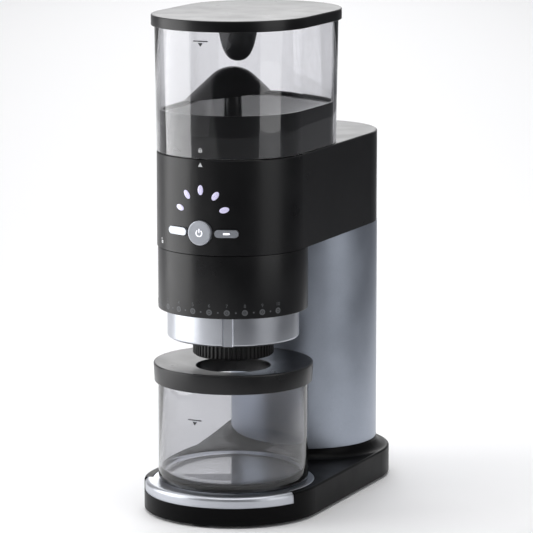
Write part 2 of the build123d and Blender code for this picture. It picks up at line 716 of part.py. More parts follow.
with BuildPart() as scale_ring:
    ring(SCALE_R - WALL, SCALE_R, SCALE_Z, HEAD_Z - 0.5)
    fillet(scale_ring.edges().group_by(Axis.Z)[-1].sort_by(SortBy.LENGTH)[-1], 0.5)
    fillet(scale_ring.edges().group_by(Axis.Z)[0].sort_by(SortBy.LENGTH)[-1], 0.5)
finish(scale_ring, "scale_ring")

POINTER_ANGLE = 20.0
CHANNEL_W = 9.4
CHANNEL_D = 1.3
CHANNEL_BEVEL = 1.2
DIAL_GAP = 0.4
DIAL_ROUND = 2.2

with BuildPart() as grind_dial:
    ring(0, DIAL_R, DIAL_Z, SCALE_Z - DIAL_GAP)
    fillet(grind_dial.edges().group_by(Axis.Z)[0], DIAL_ROUND)
    fillet(grind_dial.edges().group_by(Axis.Z)[-1], 0.5)
    ring(47, 50.2, DIAL_Z + 3, SCALE_Z, mode=Mode.SUBTRACT)
    ring(0, 44.4, DIAL_Z + 3, SCALE_Z, mode=Mode.SUBTRACT)
    ring(0, 30.7, DIAL_Z - 1, SCALE_Z, mode=Mode.SUBTRACT)
    # pointer channel down the face, with bevelled sides
    half = CHANNEL_W / 2
    floor_half = half - CHANNEL_BEVEL
    reach = 2 * CHANNEL_D
    spread = half + (reach - CHANNEL_D) * CHANNEL_BEVEL / CHANNEL_D
    with BuildSketch(Plane.XY.offset(DIAL_Z)):
        with Locations(Location((0, FRONT_Y), POINTER_ANGLE)):
            Polygon(
                (-floor_half, CHANNEL_D - DIAL_R), (floor_half, CHANNEL_D - DIAL_R),
                (spread, CHANNEL_D - reach - DIAL_R), (-spread, CHANNEL_D - reach - DIAL_R),
                align=None,
            )
    extrude(amount=SCALE_Z - DIAL_Z, mode=Mode.SUBTRACT)
finish(grind_dial, "grind_dial")

with BuildPart() as outlet_nozzle:
    ring(26, OUTLET_R, OUTLET_Z, DIAL_Z)
    chamfer(outlet_nozzle.edges().group_by(Axis.Z)[0], 0.8)
    ring(26, 30.5, DIAL_Z, DIAL_Z + 4)
finish(outlet_nozzle, "outlet_nozzle")

# ---------------------------------------------------------------- buttons

with BuildPart() as power_button:
    with BuildSketch(facing(0, BUTTON_Z, 57.2)):
        Circle(POWER_R)
    extrude(amount=HEAD_R + 2.8 - 57.2)
    fillet(power_button.edges().group_by(Axis.Y)[0], 0.9)
    with BuildSketch(facing(0, BUTTON_Z, 54.5)):
        Circle(8)
    extrude(amount=2.7)
    with BuildSketch(facing(0, BUTTON_Z, 54.5)):
        Rectangle(8, 23)
    extrude(amount=1.5)
    with BuildSketch(facing(0, BUTTON_Z, 48.5)):
        Circle(3)
    extrude(amount=6)
finish(power_button, "power_button")


def pill_button(side):
    """Capsule-shaped key that points along the head's own normal."""
    angle = side * PILL_ANGLE
    with BuildSketch(facing(angle, BUTTON_Z, 56.5)) as key:
        SlotOverall(PILL_L, PILL_H)
    extrude(key.sketch, amount=HEAD_R + 1.4 - 56.5)
    with BuildSketch(facing(angle, BUTTON_Z, 52.2)) as stem:
        Circle(2)
    extrude(stem.sketch, amount=4.3)


with BuildPart() as minus_button:
    pill_button(-1)
finish(minus_button, "minus_button")

with BuildPart() as plus_button:
    pill_button(1)
finish(plus_button, "plus_button")

# ---------------------------------------------------------------- hopper

HOPPER_WALL = 2.4
FLOOR_RIM_Z = 326.0
FLOOR_R = 57.75
CONE_APEX_Z = 356.7
CONE_NOSE_R = 26.6
CONE_SLOPE = 41.0
CONE_EDGE_Z = 336.2
CONE_EDGE_TILT = 7.1
BORE_STUB = 0.6


def hopper_radius(z):
    """Outer radius of the flaring hopper wall at height z."""
    return HOPPER_FOOT_R + (HOPPER_RIM_R - HOPPER_FOOT_R) * (z - HOPPER_Z) / (LID_Z - HOPPER_Z)


# Clear wall, wider at the rim than at the foot
with BuildPart() as hopper_shell:
    rim_r = hopper_radius(HOPPER_RIM_Z)
    stadium_loft(HOPPER_FOOT_R, HOPPER_Z, rim_r, HOPPER_RIM_Z, HOPPER_REAR_Y, HOPPER_REAR_Y)
    stadium_loft(
        HOPPER_FOOT_R - HOPPER_WALL, HOPPER_Z, rim_r - HOPPER_WALL, HOPPER_RIM_Z,
        HOPPER_REAR_Y, HOPPER_REAR_Y, mode=Mode.SUBTRACT,
    )
finish(hopper_shell, "hopper_shell")

# Funnel floor inside the wall: skirt, sloping floor and a collar round the outlet
with BuildPart() as hopper_floor:
    with BuildSketch(Plane.XY.offset(HOPPER_Z)):
        stadium(FLOOR_R, FRONT_Y, HOPPER_REAR_Y)
        stadium(FLOOR_R - 2.2, FRONT_Y, HOPPER_REAR_Y, mode=Mode.SUBTRACT)
    extrude(amount=FLOOR_RIM_Z - HOPPER_Z)
    stadium_loft(21, 294.5, FLOOR_R - 1.2, FLOOR_RIM_Z - 2.4, FRONT_Y + BORE_STUB, HOPPER_REAR_Y)
    ring(0, 22.2, 285.2, 297)
    stadium_loft(
        SLEEVE_BORE_R, 297, FLOOR_R - 2.6, FLOOR_RIM_Z + 0.2,
        FRONT_Y + BORE_STUB, HOPPER_REAR_Y, mode=Mode.SUBTRACT,
    )
    ring(0, SLEEVE_BORE_R, 280, 300, mode=Mode.SUBTRACT)
finish(hopper_floor, "hopper_floor")

# Cap that keeps the weight of the beans off the burrs; its edge slopes a little to one side
with BuildPart() as bean_cone:
    nose_centre = CONE_APEX_Z - CONE_NOSE_R
    blend_r = CONE_NOSE_R * sin(radians(CONE_SLOPE))
    blend_z = nose_centre + CONE_NOSE_R * cos(radians(CONE_SLOPE))
    mid = radians(CONE_SLOPE / 2)
    nose_mid = (CONE_NOSE_R * sin(mid), nose_centre + CONE_NOSE_R * cos(mid))
    skirt_r = 46.0
    skirt_z = blend_z - (skirt_r - blend_r) * tan(radians(CONE_SLOPE))
    drop = 2.8
    with BuildSketch(section(FRONT_Y)):
        with BuildLine():
            ThreePointArc((0, CONE_APEX_Z), nose_mid, (blend_r, blend_z))
            Line((blend_r, blend_z), (skirt_r, skirt_z))
            Line((skirt_r, skirt_z), (skirt_r, skirt_z - drop))
            Line((skirt_r, skirt_z - drop), (blend_r, blend_z - drop))
            ThreePointArc(
                (blend_r, blend_z - drop),
                (nose_mid[0], nose_mid[1] - drop),
                (0, CONE_APEX_Z - drop),
            )
            Line((0, CONE_APEX_Z - drop), (0, CONE_APEX_Z))
        make_face()
    revolve(axis=FRONT_AXIS)
    with Locations(Location((0, FRONT_Y, CONE_EDGE_Z), (0, -CONE_EDGE_TILT, 0))):
        Box(140, 140, 60, align=(Align.CENTER, Align.CENTER, Align.MAX), mode=Mode.SUBTRACT)
finish(bean_cone, "bean_cone")

# Tapered post with flutes, on three arms that snap into the floor's outlet
with BuildPart() as cone_post:
    turned([(0, 290), (8.0, 290), (7.7, 300), (6.4, 343), (6.4, 349.5), (0, 353.5)])
    for place in PolarLocations(8.9, 6).locations:
        with Locations(Pos(0, FRONT_Y, 317) * place * Rot(0, 2, 0)):
            Box(3.6, 3.0, 44, mode=Mode.SUBTRACT)
    with BuildSketch(Plane.XY.offset(290)):
        with Locations((0, FRONT_Y)):
            with PolarLocations(12.4, 3, start_angle=30):
                Rectangle(11, 2.6)
    extrude(amount=5)
finish(cone_post, "cone_post")

# Ring that the hopper plugs into; its lugs turn under the lips of the throat
with BuildPart() as hopper_lock_ring:
    ring(22.6, 25.4, LOCK_FLOOR_Z + 0.4, HEAD_TOP_Z)
    with BuildSketch(Plane.XY.offset(LOCK_FLOOR_Z + 0.4)):
        with Locations((0, FRONT_Y)):
            with PolarLocations(25.8, 3, start_angle=30):
                Rectangle(3.2, 9)
    extrude(amount=3.6)
finish(hopper_lock_ring, "hopper_lock_ring")

# ---------------------------------------------------------------- hopper lid

LID_WALL = 2.2
LID_CEILING_Z = 397.5
BOSS_TOP_R = 18.0
BOSS_FOOT_Z = 359.8
RIB_T = 3.0

with BuildPart() as hopper_lid:
    with BuildSketch(Plane.XY.offset(LID_Z)):
        stadium(LID_R, FRONT_Y, HOPPER_REAR_Y)
    extrude(amount=LID_TOP_Z - LID_Z)
    fillet(hopper_lid.edges().group_by(Axis.Z)[-1], 1.0)
    fillet(hopper_lid.edges().group_by(Axis.Z)[0], 0.5)
    with BuildSketch(Plane.XY.offset(LID_Z)):
        stadium(LID_R - LID_WALL, FRONT_Y, HOPPER_REAR_Y)
    extrude(amount=LID_CEILING_Z - LID_Z, mode=Mode.SUBTRACT)
    with BuildSketch(Plane.XY.offset(LID_Z)):
        stadium(59.2, FRONT_Y, HOPPER_REAR_Y)
        stadium(57.4, FRONT_Y, HOPPER_REAR_Y, mode=Mode.SUBTRACT)
    extrude(amount=LID_CEILING_Z - LID_Z)
finish(hopper_lid, "hopper_lid")

with BuildPart() as lid_seal:
    with BuildSketch(Plane.XY.offset(HOPPER_RIM_Z + 0.3)):
        stadium(62.0, FRONT_Y, HOPPER_REAR_Y)
        stadium(59.6, FRONT_Y, HOPPER_REAR_Y, mode=Mode.SUBTRACT)
    extrude(amount=LID_CEILING_Z - HOPPER_RIM_Z - 0.3)
finish(lid_seal, "lid_seal")

# Cup-shaped boss under the lid, with a rib behind it
with BuildPart() as lid_stem:
    with BuildSketch(section(BOSS_Y)):
        with BuildLine():
            Spline(
                (BOSS_TOP_R, LID_CEILING_Z), (14.9, 378), (11.3, 367), (0, BOSS_FOOT_Z),
                tangents=((-0.1, -1), (-1, 0)),
            )
            Polyline(
                (0, BOSS_FOOT_Z), (0, BOSS_FOOT_Z + WALL), (8.6, 369), (12.4, 379),
                (BOSS_TOP_R - WALL, LID_CEILING_Z), (BOSS_TOP_R, LID_CEILING_Z),
            )
        make_face()
    revolve(axis=BOSS_AXIS)
    with BuildSketch(Plane.YZ.offset(-RIB_T / 2)):
        with BuildLine():
            Polyline(
                (BOSS_Y + 14.5, LID_CEILING_Z), (BOSS_Y + 13.4, 379.5),
                (22, 381.5), (34, 386), (34, LID_CEILING_Z), close=True,
            )
        make_face()
    extrude(amount=RIB_T)
    with Locations((30, -18, 390)):
        Cylinder(2.4, 15)
finish(lid_stem, "lid_stem")

# ---------------------------------------------------------------- grounds container

CONTAINER_Z = 25.0
CONTAINER_RIM_Z = 116.0
CONTAINER_WALL = 2.0
CUP_FLOOR_Z = 29.5
CUP_INSIDE_ROUND = 8.0
CUP_FOOT_ROUND = 4.0

# Clear cup: thick foot, rounded inside corner
with BuildPart() as grounds_container:
    ring(0, CONTAINER_R, CONTAINER_Z, CONTAINER_RIM_Z)
    fillet(grounds_container.edges().group_by(Axis.Z)[0], CUP_FOOT_ROUND)
    with BuildSketch(section(FRONT_Y)):
        with BuildLine():
            inner_r = CONTAINER_R - CONTAINER_WALL
            flat_r = inner_r - CUP_INSIDE_ROUND
            round_top_z = CUP_FLOOR_Z + CUP_INSIDE_ROUND
            Polyline((0, CONTAINER_RIM_Z + 1), (0, CUP_FLOOR_Z), (flat_r, CUP_FLOOR_Z))
            CenterArc((flat_r, round_top_z), CUP_INSIDE_ROUND, 270, 90)
            Line((inner_r, round_top_z), (inner_r, CONTAINER_RIM_Z + 1))
            Line((inner_r, CONTAINER_RIM_Z + 1), (0, CONTAINER_RIM_Z + 1))
        make_face()
    revolve(axis=FRONT_AXIS, mode=Mode.SUBTRACT)
finish(grounds_container, "grounds_container")

CAP_SKIRT_Z = 109.0
MOUTH_R = 30.0
MOUTH_COLLAR_Z = 106.0
PLUG_RING_Z = 109.5

# Cap over the cup: deep skirt outside, dished top whose wide mouth has a collar, plug ring inside
with BuildPart() as container_lid:
    turned([
        (61.0, CAP_SKIRT_Z), (63.4, CAP_SKIRT_Z), (64.1, 120.2), (63.2, 121.2), (61.4, 121.2),
        (40, 118.6), (MOUTH_R, 117.6), (MOUTH_R, MOUTH_COLLAR_Z), (MOUTH_R + 2, MOUTH_COLLAR_Z),
        (MOUTH_R + 2, 115.6), (40, 116.4), (54.6, 117.9),
        (54.6, PLUG_RING_Z), (56.6, PLUG_RING_Z), (56.6, 118.1), (61.0, 118.6),
    ])
finish(container_lid, "container_lid")

with BuildPart() as container_seal:
    ring(56.65, 58.2, 111, 113.4)
finish(container_seal, "container_seal")
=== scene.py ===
# %% [markdown]
# # A burr coffee grinder, finished around its CAD frame
# The CAD model already holds every working piece at its true size and place. This lesson
# loads it as a fixed frame, then gives each piece its finish, turns the smooth outer
# casings, bends the printed marks round the head, and sets up a small studio.
# Nothing is ever moved: a new piece is made where the CAD says it is, in metres.

import json
from math import cos, pi, radians, sin

import bmesh
import bpy
from mathutils import Matrix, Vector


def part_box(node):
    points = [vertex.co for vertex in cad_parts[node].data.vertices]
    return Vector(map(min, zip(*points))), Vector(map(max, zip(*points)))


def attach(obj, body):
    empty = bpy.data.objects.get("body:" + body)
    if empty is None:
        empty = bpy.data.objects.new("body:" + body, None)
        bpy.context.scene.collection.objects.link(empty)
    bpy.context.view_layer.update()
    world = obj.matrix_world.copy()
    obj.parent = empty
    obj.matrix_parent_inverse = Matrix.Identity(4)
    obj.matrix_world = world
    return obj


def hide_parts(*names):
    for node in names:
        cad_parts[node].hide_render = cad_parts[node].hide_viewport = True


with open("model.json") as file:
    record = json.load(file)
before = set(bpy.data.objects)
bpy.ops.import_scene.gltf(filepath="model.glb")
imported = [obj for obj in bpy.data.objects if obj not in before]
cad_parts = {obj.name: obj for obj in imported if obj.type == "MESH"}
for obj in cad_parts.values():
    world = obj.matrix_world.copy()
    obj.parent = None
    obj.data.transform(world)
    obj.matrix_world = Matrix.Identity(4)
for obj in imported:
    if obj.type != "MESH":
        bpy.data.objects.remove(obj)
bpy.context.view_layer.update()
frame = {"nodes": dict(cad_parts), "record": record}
MM = 0.001

# %% [markdown]
# ## Sizes that the looks share with the CAD
# The hopper, burrs and cup stand on the front axis and the motor column on the rear one.
# Heights come from the frame's own boxes, so they follow the CAD if it changes. The
# remaining numbers are the radii that a box can't tell, in metres.

# %% Shared sizes
FRONT_Y = -70 * MM
REAR_Y = 70 * MM
HOPPER_REAR_Y = -16 * MM
HEAD_R = 60.7 * MM
SCALE_R = 60.0 * MM
OUTLET_R = 31.6 * MM
BUTTON_Z = 234 * MM
PILL_ANGLE = 20
HEAD_FOOT, HEAD_TOP = (corner.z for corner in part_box("head_housing"))
RING_FOOT, RING_TOP = (corner.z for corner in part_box("scale_ring"))
HOPPER_FOOT, HOPPER_RIM = (corner.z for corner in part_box("hopper_shell"))
LID_FOOT, LID_TOP = (corner.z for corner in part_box("hopper_lid"))
CUP_FOOT, CUP_RIM = (corner.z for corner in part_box("grounds_container"))
print(f"head {HEAD_FOOT / MM:.1f} to {HEAD_TOP / MM:.1f} mm, lid top {LID_TOP / MM:.1f} mm")

# %% [markdown]
# ## Two helpers for node trees
# Colours are picked as sRGB hex values, because that is how the eye and a colour chart
# name them, but Blender mixes light in linear values. One function does the change.
# The other adds a node, sets its settings, and fills or links its sockets. It serves
# materials, the world and Geometry Nodes alike.

# %% Colour and node helpers
def linear(hex_colour):
    """An sRGB hex colour as the linear RGBA that Blender's sockets take."""
    channels = [int(hex_colour[i : i + 2], 16) / 255 for i in (1, 3, 5)]
    return [c / 12.92 if c <= 0.04045 else ((c + 0.055) / 1.055) ** 2.4 for c in channels] + [1]


def node(tree, kind, inputs=None, **settings):
    """Adds a node; inputs maps a socket's name or number to a value or to another socket."""
    made = tree.nodes.new(kind)
    for name, value in settings.items():
        setattr(made, name, value)
    for name, value in (inputs or {}).items():
        if isinstance(value, bpy.types.NodeSocket):
            tree.links.new(value, made.inputs[name])
        else:
            made.inputs[name].default_value = value
    return made


print("helpers ready; mid grey is", [round(c, 3) for c in linear("#808080")[:3]])

# %% [markdown]
# ## A moulded or cast surface
# Most of this object is moulded plastic, rubber or metal whose surface is even at arm's
# length and grainy close up. Each of those finishes is the same idea with other numbers:
# a fine noise is the grain of the mould, a broad noise is the handling and flow marks
# that make the gloss uneven. The grain's real size is 0.1 to 0.3 mm, too fine for the
# render, so it is drawn two to four times coarser than it is.

# %% The surface recipe
def surface(name, dark, light, roughness, grain_mm, relief, stretch=(1, 1, 1), **shader):
    """A material whose colour and gloss vary between two hex colours and two roughnesses."""
    made = bpy.data.materials.new(name)
    made.use_nodes = True
    tree = made.node_tree
    tree.nodes.clear()
    place = node(tree, "ShaderNodeTexCoord").outputs["Object"]
    grain_place = node(tree, "ShaderNodeMapping", {"Vector": place, "Scale": stretch})
    grain = node(
        tree,
        "ShaderNodeTexNoise",
        {"Vector": grain_place.outputs[0], "Scale": 1 / (grain_mm * MM), "Detail": 2.0},
    )
    broad = node(tree, "ShaderNodeTexNoise", {"Vector": place, "Scale": 35.0, "Detail": 3.0})
    both = node(tree, "ShaderNodeMath", {0: grain.outputs[0], 1: broad.outputs[0]}, operation="ADD")
    spread = node(
        tree, "ShaderNodeMapRange", {"Value": both.outputs[0], "From Min": 0.7, "From Max": 1.3}
    )
    colour = node(
        tree,
        "ShaderNodeMix",
        {0: spread.outputs[0], 6: linear(dark), 7: linear(light)},
        data_type="RGBA",
    )
    gloss = node(
        tree,
        "ShaderNodeMapRange",
        {"Value": broad.outputs[0], "From Min": 0.3, "From Max": 0.7,
         "To Min": roughness[0], "To Max": roughness[1]},
    )
    bump = node(
        tree,
        "ShaderNodeBump",
        {"Height": grain.outputs[0], "Strength": relief, "Distance": 0.05 * MM},
    )
    skin = node(
        tree,
        "ShaderNodeBsdfPrincipled",
        {"Base Color": colour.outputs[2], "Roughness": gloss.outputs[0], "Normal": bump.outputs[0]},
    )
    for socket, value in shader.items():
        skin.inputs[socket.replace("_", " ")].default_value = value
    node(tree, "ShaderNodeOutputMaterial", {"Surface": skin.outputs[0]})
    return made


print("surface recipe ready")

# %% [markdown]
# ## The black casings
# The base, head, dial ring, lids and funnel are moulded in black ABS with a fine satin
# texture etched into the mould. It hides fingermarks, and gives the eye a soft grey
# sheen at grazing angles and a deep black face on. ABS has an IOR of about 1.54; the
# etched skin scatters part of that reflection, so the specular level is lowered a little.
# The base looks a deeper black than the rest, so its IOR and specular level are set below
# what ABS has. Those two values were matched to the look and are not typical ones.

# %% Black plastics
FINISH = {}
FINISH["black_plastic"] = surface(
    "moulded_black_abs", "#08080a", "#0f0f11", (0.27, 0.36), 0.45, 0.16,
    IOR=1.5, Specular_IOR_Level=0.42,
)
BASE_BLACK = surface(
    "deep_black_abs", "#060607", "#0b0b0c", (0.3, 0.4), 0.45, 0.16,
    IOR=1.2, Specular_IOR_Level=0.3,
)
FINISH["dark_inner_plastic"] = surface(
    "glass_filled_nylon", "#1a1a1c", "#262629", (0.5, 0.62), 0.8, 0.35, IOR=1.53,
)
FINISH["outlet_rubber"] = surface(
    "moulded_outlet_rubber", "#0c0c0d", "#151516", (0.42, 0.55), 0.6, 0.2, IOR=1.5,
)
FINISH["black_rubber"] = surface(
    "nitrile_rubber", "#0e0e0f", "#181819", (0.6, 0.75), 0.7, 0.3, IOR=1.52,
)
print(len(FINISH), "black finishes")

# %% [markdown]
# ## The metal finishes
# The dial and the tray are cast zinc with a satin silver plating: bright, with soft
# broad highlights. The column is a steel tube sprayed with a blue-grey metallic lacquer,
# so it is metal to the eye, but darker, and its flakes sparkle a little. Inside are
# zinc-plated steel, ground burr steel, bronze and cast parts. A metal keeps Blender's
# default IOR, and its colour is its reflection.

# %% Metals
FINISH["satin_silver"] = surface(
    "satin_silver_plating", "#b9bcc3", "#c6c9cf", (0.3, 0.38), 0.3, 0.1, Metallic=1.0,
)
FINISH["column_metal"] = surface(
    "metallic_grey_lacquer", "#a2a9b5", "#b1b8c4", (0.36, 0.44), 0.5, 0.12, Metallic=0.9,
)
FINISH["zinc_steel"] = surface(
    "zinc_plated_steel", "#a4a7a8", "#b6b8b6", (0.3, 0.42), 0.9, 0.15, Metallic=1.0,
)
FINISH["burr_steel"] = surface(
    "ground_burr_steel", "#8d8e90", "#a5a6a8", (0.24, 0.36), 0.5, 0.3,
    stretch=(0.2, 0.2, 1.6), Metallic=1.0,
)
FINISH["gear_steel"] = surface(
    "hobbed_gear_steel", "#808284", "#999b9d", (0.28, 0.4), 0.4, 0.25,
    stretch=(1, 1, 0.15), Metallic=1.0,
)
FINISH["cast_alloy"] = surface(
    "turned_cast_aluminium", "#a3a5a8", "#b4b6b9", (0.34, 0.46), 0.5, 0.3,
    stretch=(0.2, 0.2, 2), Metallic=1.0,
)
FINISH["bronze"] = surface(
    "sintered_bronze", "#8a6a3c", "#a5834e", (0.42, 0.56), 0.5, 0.4, Metallic=1.0,
)
FINISH["armature_steel"] = surface(
    "laminated_core_steel", "#6b6259", "#8c7b66", (0.4, 0.55), 0.5, 0.5,
    stretch=(0.1, 0.1, 1), Metallic=0.8,
)
print(len(FINISH), "finishes so far")

# %% [markdown]
# ## The small insulating parts
# The gear is moulded in natural nylon, the magnets are sintered ferrite with a dull
# ceramic face, and the circuit boards are green lacquer over glass cloth. The keys are
# clear-coated silver paint over plastic: the coat is a separate glossy layer, which the
# shader's coat sockets stand for.

# %% Nylon, ferrite, board and keys
FINISH["gear_nylon"] = surface(
    "natural_nylon", "#cfcbb9", "#dcd9c9", (0.38, 0.5), 0.8, 0.2,
    IOR=1.53, Subsurface_Weight=0.1, Subsurface_Scale=1 * MM,
)
FINISH["magnet_ferrite"] = surface(
    "sintered_ferrite", "#2e2e31", "#3c3c3f", (0.55, 0.7), 0.5, 0.4, IOR=1.6,
)
FINISH["circuit_board"] = surface(
    "lacquered_board", "#0d4026", "#14552f", (0.25, 0.4), 1.2, 0.3, IOR=1.55,
)
FINISH["silver_key"] = surface(
    "silver_lacquered_key", "#aeb2ba", "#bec2c9", (0.34, 0.42), 0.3, 0.1,
    Metallic=0.7, Coat_Weight=0.4, Coat_Roughness=0.15,
)
print(len(FINISH), "finishes so far")

# %% [markdown]
# ## The clear plastic
# The hopper and the cup are moulded in smoke-tinted SAN, a clear plastic with an IOR of
# about 1.57. Light crosses each wall twice, so the tint is faint face on and deepens at
# the edges, where the eye looks along the wall. A wide, shallow noise in the bump is the
# flow of the moulding: it makes what is behind swim a little, as it does through plastic.

# %% Smoke-tinted plastics
def clear_plastic(name, tint, density):
    """A see-through wall: a faint tint at each face and absorption through its depth."""
    made = bpy.data.materials.new(name)
    made.use_nodes = True
    tree = made.node_tree
    tree.nodes.clear()
    place = node(tree, "ShaderNodeTexCoord").outputs["Object"]
    flow = node(tree, "ShaderNodeTexNoise", {"Vector": place, "Scale": 28.0, "Detail": 1.0})
    wipe = node(tree, "ShaderNodeTexNoise", {"Vector": place, "Scale": 90.0, "Detail": 4.0})
    haze = node(
        tree, "ShaderNodeMapRange", {"Value": wipe.outputs[0], "To Min": 0.0, "To Max": 0.03}
    )
    bump = node(
        tree, "ShaderNodeBump", {"Height": flow.outputs[0], "Strength": 0.02, "Distance": 0.4 * MM}
    )
    wall = node(
        tree,
        "ShaderNodeBsdfPrincipled",
        {"Base Color": linear("#fafafc"), "Roughness": haze.outputs[0], "IOR": 1.57,
         "Transmission Weight": 1.0, "Normal": bump.outputs[0]},
    )
    depth = node(tree, "ShaderNodeVolumeAbsorption", {"Color": linear(tint), "Density": density})
    node(tree, "ShaderNodeOutputMaterial", {"Surface": wall.outputs[0], "Volume": depth.outputs[0]})
    return made


FINISH["smoke_clear_plastic"] = clear_plastic("clear_san", "#6d7078", 42.0)
SMOKED_CUP = clear_plastic("smoke_tinted_san", "#64676f", 165.0)
print("clear plastic ready")

# %% [markdown]
# ## Lenses, prints and lit marks
# The bean-shaped lights are frosted lenses with a lamp behind, so they glow a cool
# lilac white and still show their own shape. The marks on the casings are pad prints:
# a thin film of ink, matt against the satin plastic.

# %% Lens and ink
FINISH["light_lens"] = surface(
    "frosted_lens", "#d6d2ec", "#e6e3f5", (0.3, 0.4), 0.8, 0.1,
    IOR=1.49, Emission_Color=linear("#cbc5f2"), Emission_Strength=0.32,
)
LIT_MARK = surface(
    "lit_window", "#f2f2f8", "#ffffff", (0.3, 0.4), 0.8, 0.1,
    IOR=1.49, Emission_Color=linear("#f4f4ff"), Emission_Strength=0.8,
)
WHITE_INK = surface("white_pad_print", "#d2d3d4", "#e4e5e6", (0.5, 0.6), 0.4, 0.2, IOR=1.5)
GREY_INK = surface("grey_pad_print", "#4f5154", "#5e6063", (0.5, 0.6), 0.4, 0.2, IOR=1.5)
DARK_INK = surface("dark_pad_print", "#2b2c2f", "#38393c", (0.5, 0.6), 0.4, 0.2, IOR=1.5)
print(len(FINISH), "finishes in all")

# %% [markdown]
# ## Every CAD piece gets its finish
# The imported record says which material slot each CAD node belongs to, and the imported
# mesh carries that name. Putting the new material in the object's slot is enough, and
# leaves the CAD mesh untouched.

# %% Finish the CAD nodes
SLOT_OF = {part["node"]: part["material_slot"] for part in frame["record"]["subparts"]}
for name, piece in frame["nodes"].items():
    piece.material_slots[0].material = FINISH[SLOT_OF[name]]
frame["nodes"]["base_shell"].material_slots[0].material = BASE_BLACK
print("finished", len(frame["nodes"]), "CAD nodes")

# %% [markdown]
# ## Geometry Nodes: turn a profile
# The hopper, its lid, the cup and the column share one rule: a profile carried round an
# upright axis, or round two axes with straight sides between, like a running track.
# It could be done with the Screw modifier or a curve bevel, but a small tree says the
# rule outright. A grid has one row for each profile point and one column for each step
# round. Each grid point looks up its profile point, and is set at that radius and height
# round the front axis if it is in the front half, else round the rear one.

# %% The turning tree
def add_socket(tree, name, kind, direction="INPUT", default=None):
    """A named input or output of a Geometry Nodes tree."""
    socket = tree.interface.new_socket(name, in_out=direction, socket_type=kind)
    if default is not None:
        socket.default_value = default
    return socket


def turning_tree():
    tree = bpy.data.node_groups.new("turn_profile", "GeometryNodeTree")
    add_socket(tree, "Profile", "NodeSocketGeometry")
    add_socket(tree, "Front axis", "NodeSocketFloat", default=FRONT_Y)
    add_socket(tree, "Rear axis", "NodeSocketFloat", default=FRONT_Y)
    add_socket(tree, "Steps round", "NodeSocketInt", default=160)
    add_socket(tree, "Finish", "NodeSocketMaterial")
    add_socket(tree, "Casing", "NodeSocketGeometry", "OUTPUT")
    given = node(tree, "NodeGroupInput").outputs
    size = node(tree, "GeometryNodeAttributeDomainSize", {0: given["Profile"]})
    columns = node(tree, "ShaderNodeMath", {0: given["Steps round"], 1: 1.0}, operation="ADD")
    grid = node(
        tree,
        "GeometryNodeMeshGrid",
        {"Vertices X": size.outputs["Point Count"], "Vertices Y": columns.outputs[0]},
    )
    index = node(tree, "GeometryNodeInputIndex").outputs[0]
    share = node(tree, "ShaderNodeMath", {0: index, 1: columns.outputs[0]}, operation="DIVIDE")
    row = node(tree, "ShaderNodeMath", {0: share.outputs[0]}, operation="FLOOR")
    column = node(tree, "ShaderNodeMath", {0: index, 1: columns.outputs[0]}, operation="MODULO")
    profile_place = node(tree, "GeometryNodeInputPosition").outputs[0]
    found = node(
        tree,
        "GeometryNodeSampleIndex",
        {"Geometry": given["Profile"], "Value": profile_place, "Index": row.outputs[0]},
        data_type="FLOAT_VECTOR",
    )
    corner = node(tree, "ShaderNodeSeparateXYZ", {0: found.outputs[0]}).outputs
    middle = node(tree, "ShaderNodeMath", {0: column.outputs[0], 1: 0.5}, operation="ADD")
    turns = node(
        tree, "ShaderNodeMath", {0: middle.outputs[0], 1: given["Steps round"]}, operation="DIVIDE"
    )
    angle = node(tree, "ShaderNodeMath", {0: turns.outputs[0], 1: 2 * pi}, operation="MULTIPLY")
    sine = node(tree, "ShaderNodeMath", {0: angle.outputs[0]}, operation="SINE")
    cosine = node(tree, "ShaderNodeMath", {0: angle.outputs[0]}, operation="COSINE")
    is_front = node(tree, "ShaderNodeMath", {0: cosine.outputs[0], 1: 0.0}, operation="GREATER_THAN")
    axis = node(
        tree,
        "ShaderNodeMix",
        {0: is_front.outputs[0], 2: given["Rear axis"], 3: given["Front axis"]},
    )
    x = node(tree, "ShaderNodeMath", {0: corner["X"], 1: sine.outputs[0]}, operation="MULTIPLY")
    reach = node(tree, "ShaderNodeMath", {0: corner["X"], 1: cosine.outputs[0]}, operation="MULTIPLY")
    y = node(tree, "ShaderNodeMath", {0: axis.outputs[0], 1: reach.outputs[0]}, operation="SUBTRACT")
    place = node(tree, "ShaderNodeCombineXYZ", {0: x.outputs[0], 1: y.outputs[0], 2: corner["Z"]})
    shaped = node(
        tree, "GeometryNodeSetPosition", {"Geometry": grid.outputs[0], "Position": place.outputs[0]}
    )
    closed = node(
        tree, "GeometryNodeMergeByDistance", {"Geometry": shaped.outputs[0], "Distance": 0.001 * MM}
    )
    real = node(tree, "GeometryNodeRealizeInstances", {0: closed.outputs[0]})
    done = node(
        tree,
        "GeometryNodeSetMaterial",
        {"Geometry": real.outputs[0], "Material": given["Finish"]},
    )
    node(tree, "NodeGroupOutput", {0: done.outputs[0]})
    return tree


TURN = turning_tree()
print("turning tree:", len(TURN.nodes), "nodes")

# %% [markdown]
# ## Running a tree and keeping the result
# A modifier's inputs are set by the socket's identifier, before the object is first
# evaluated. The evaluated mesh is then copied into a plain object, so that the piece
# which rides on a body has no modifier left, and lies at the origin with its place in
# its mesh. Normals are turned outwards after the doubles are merged.

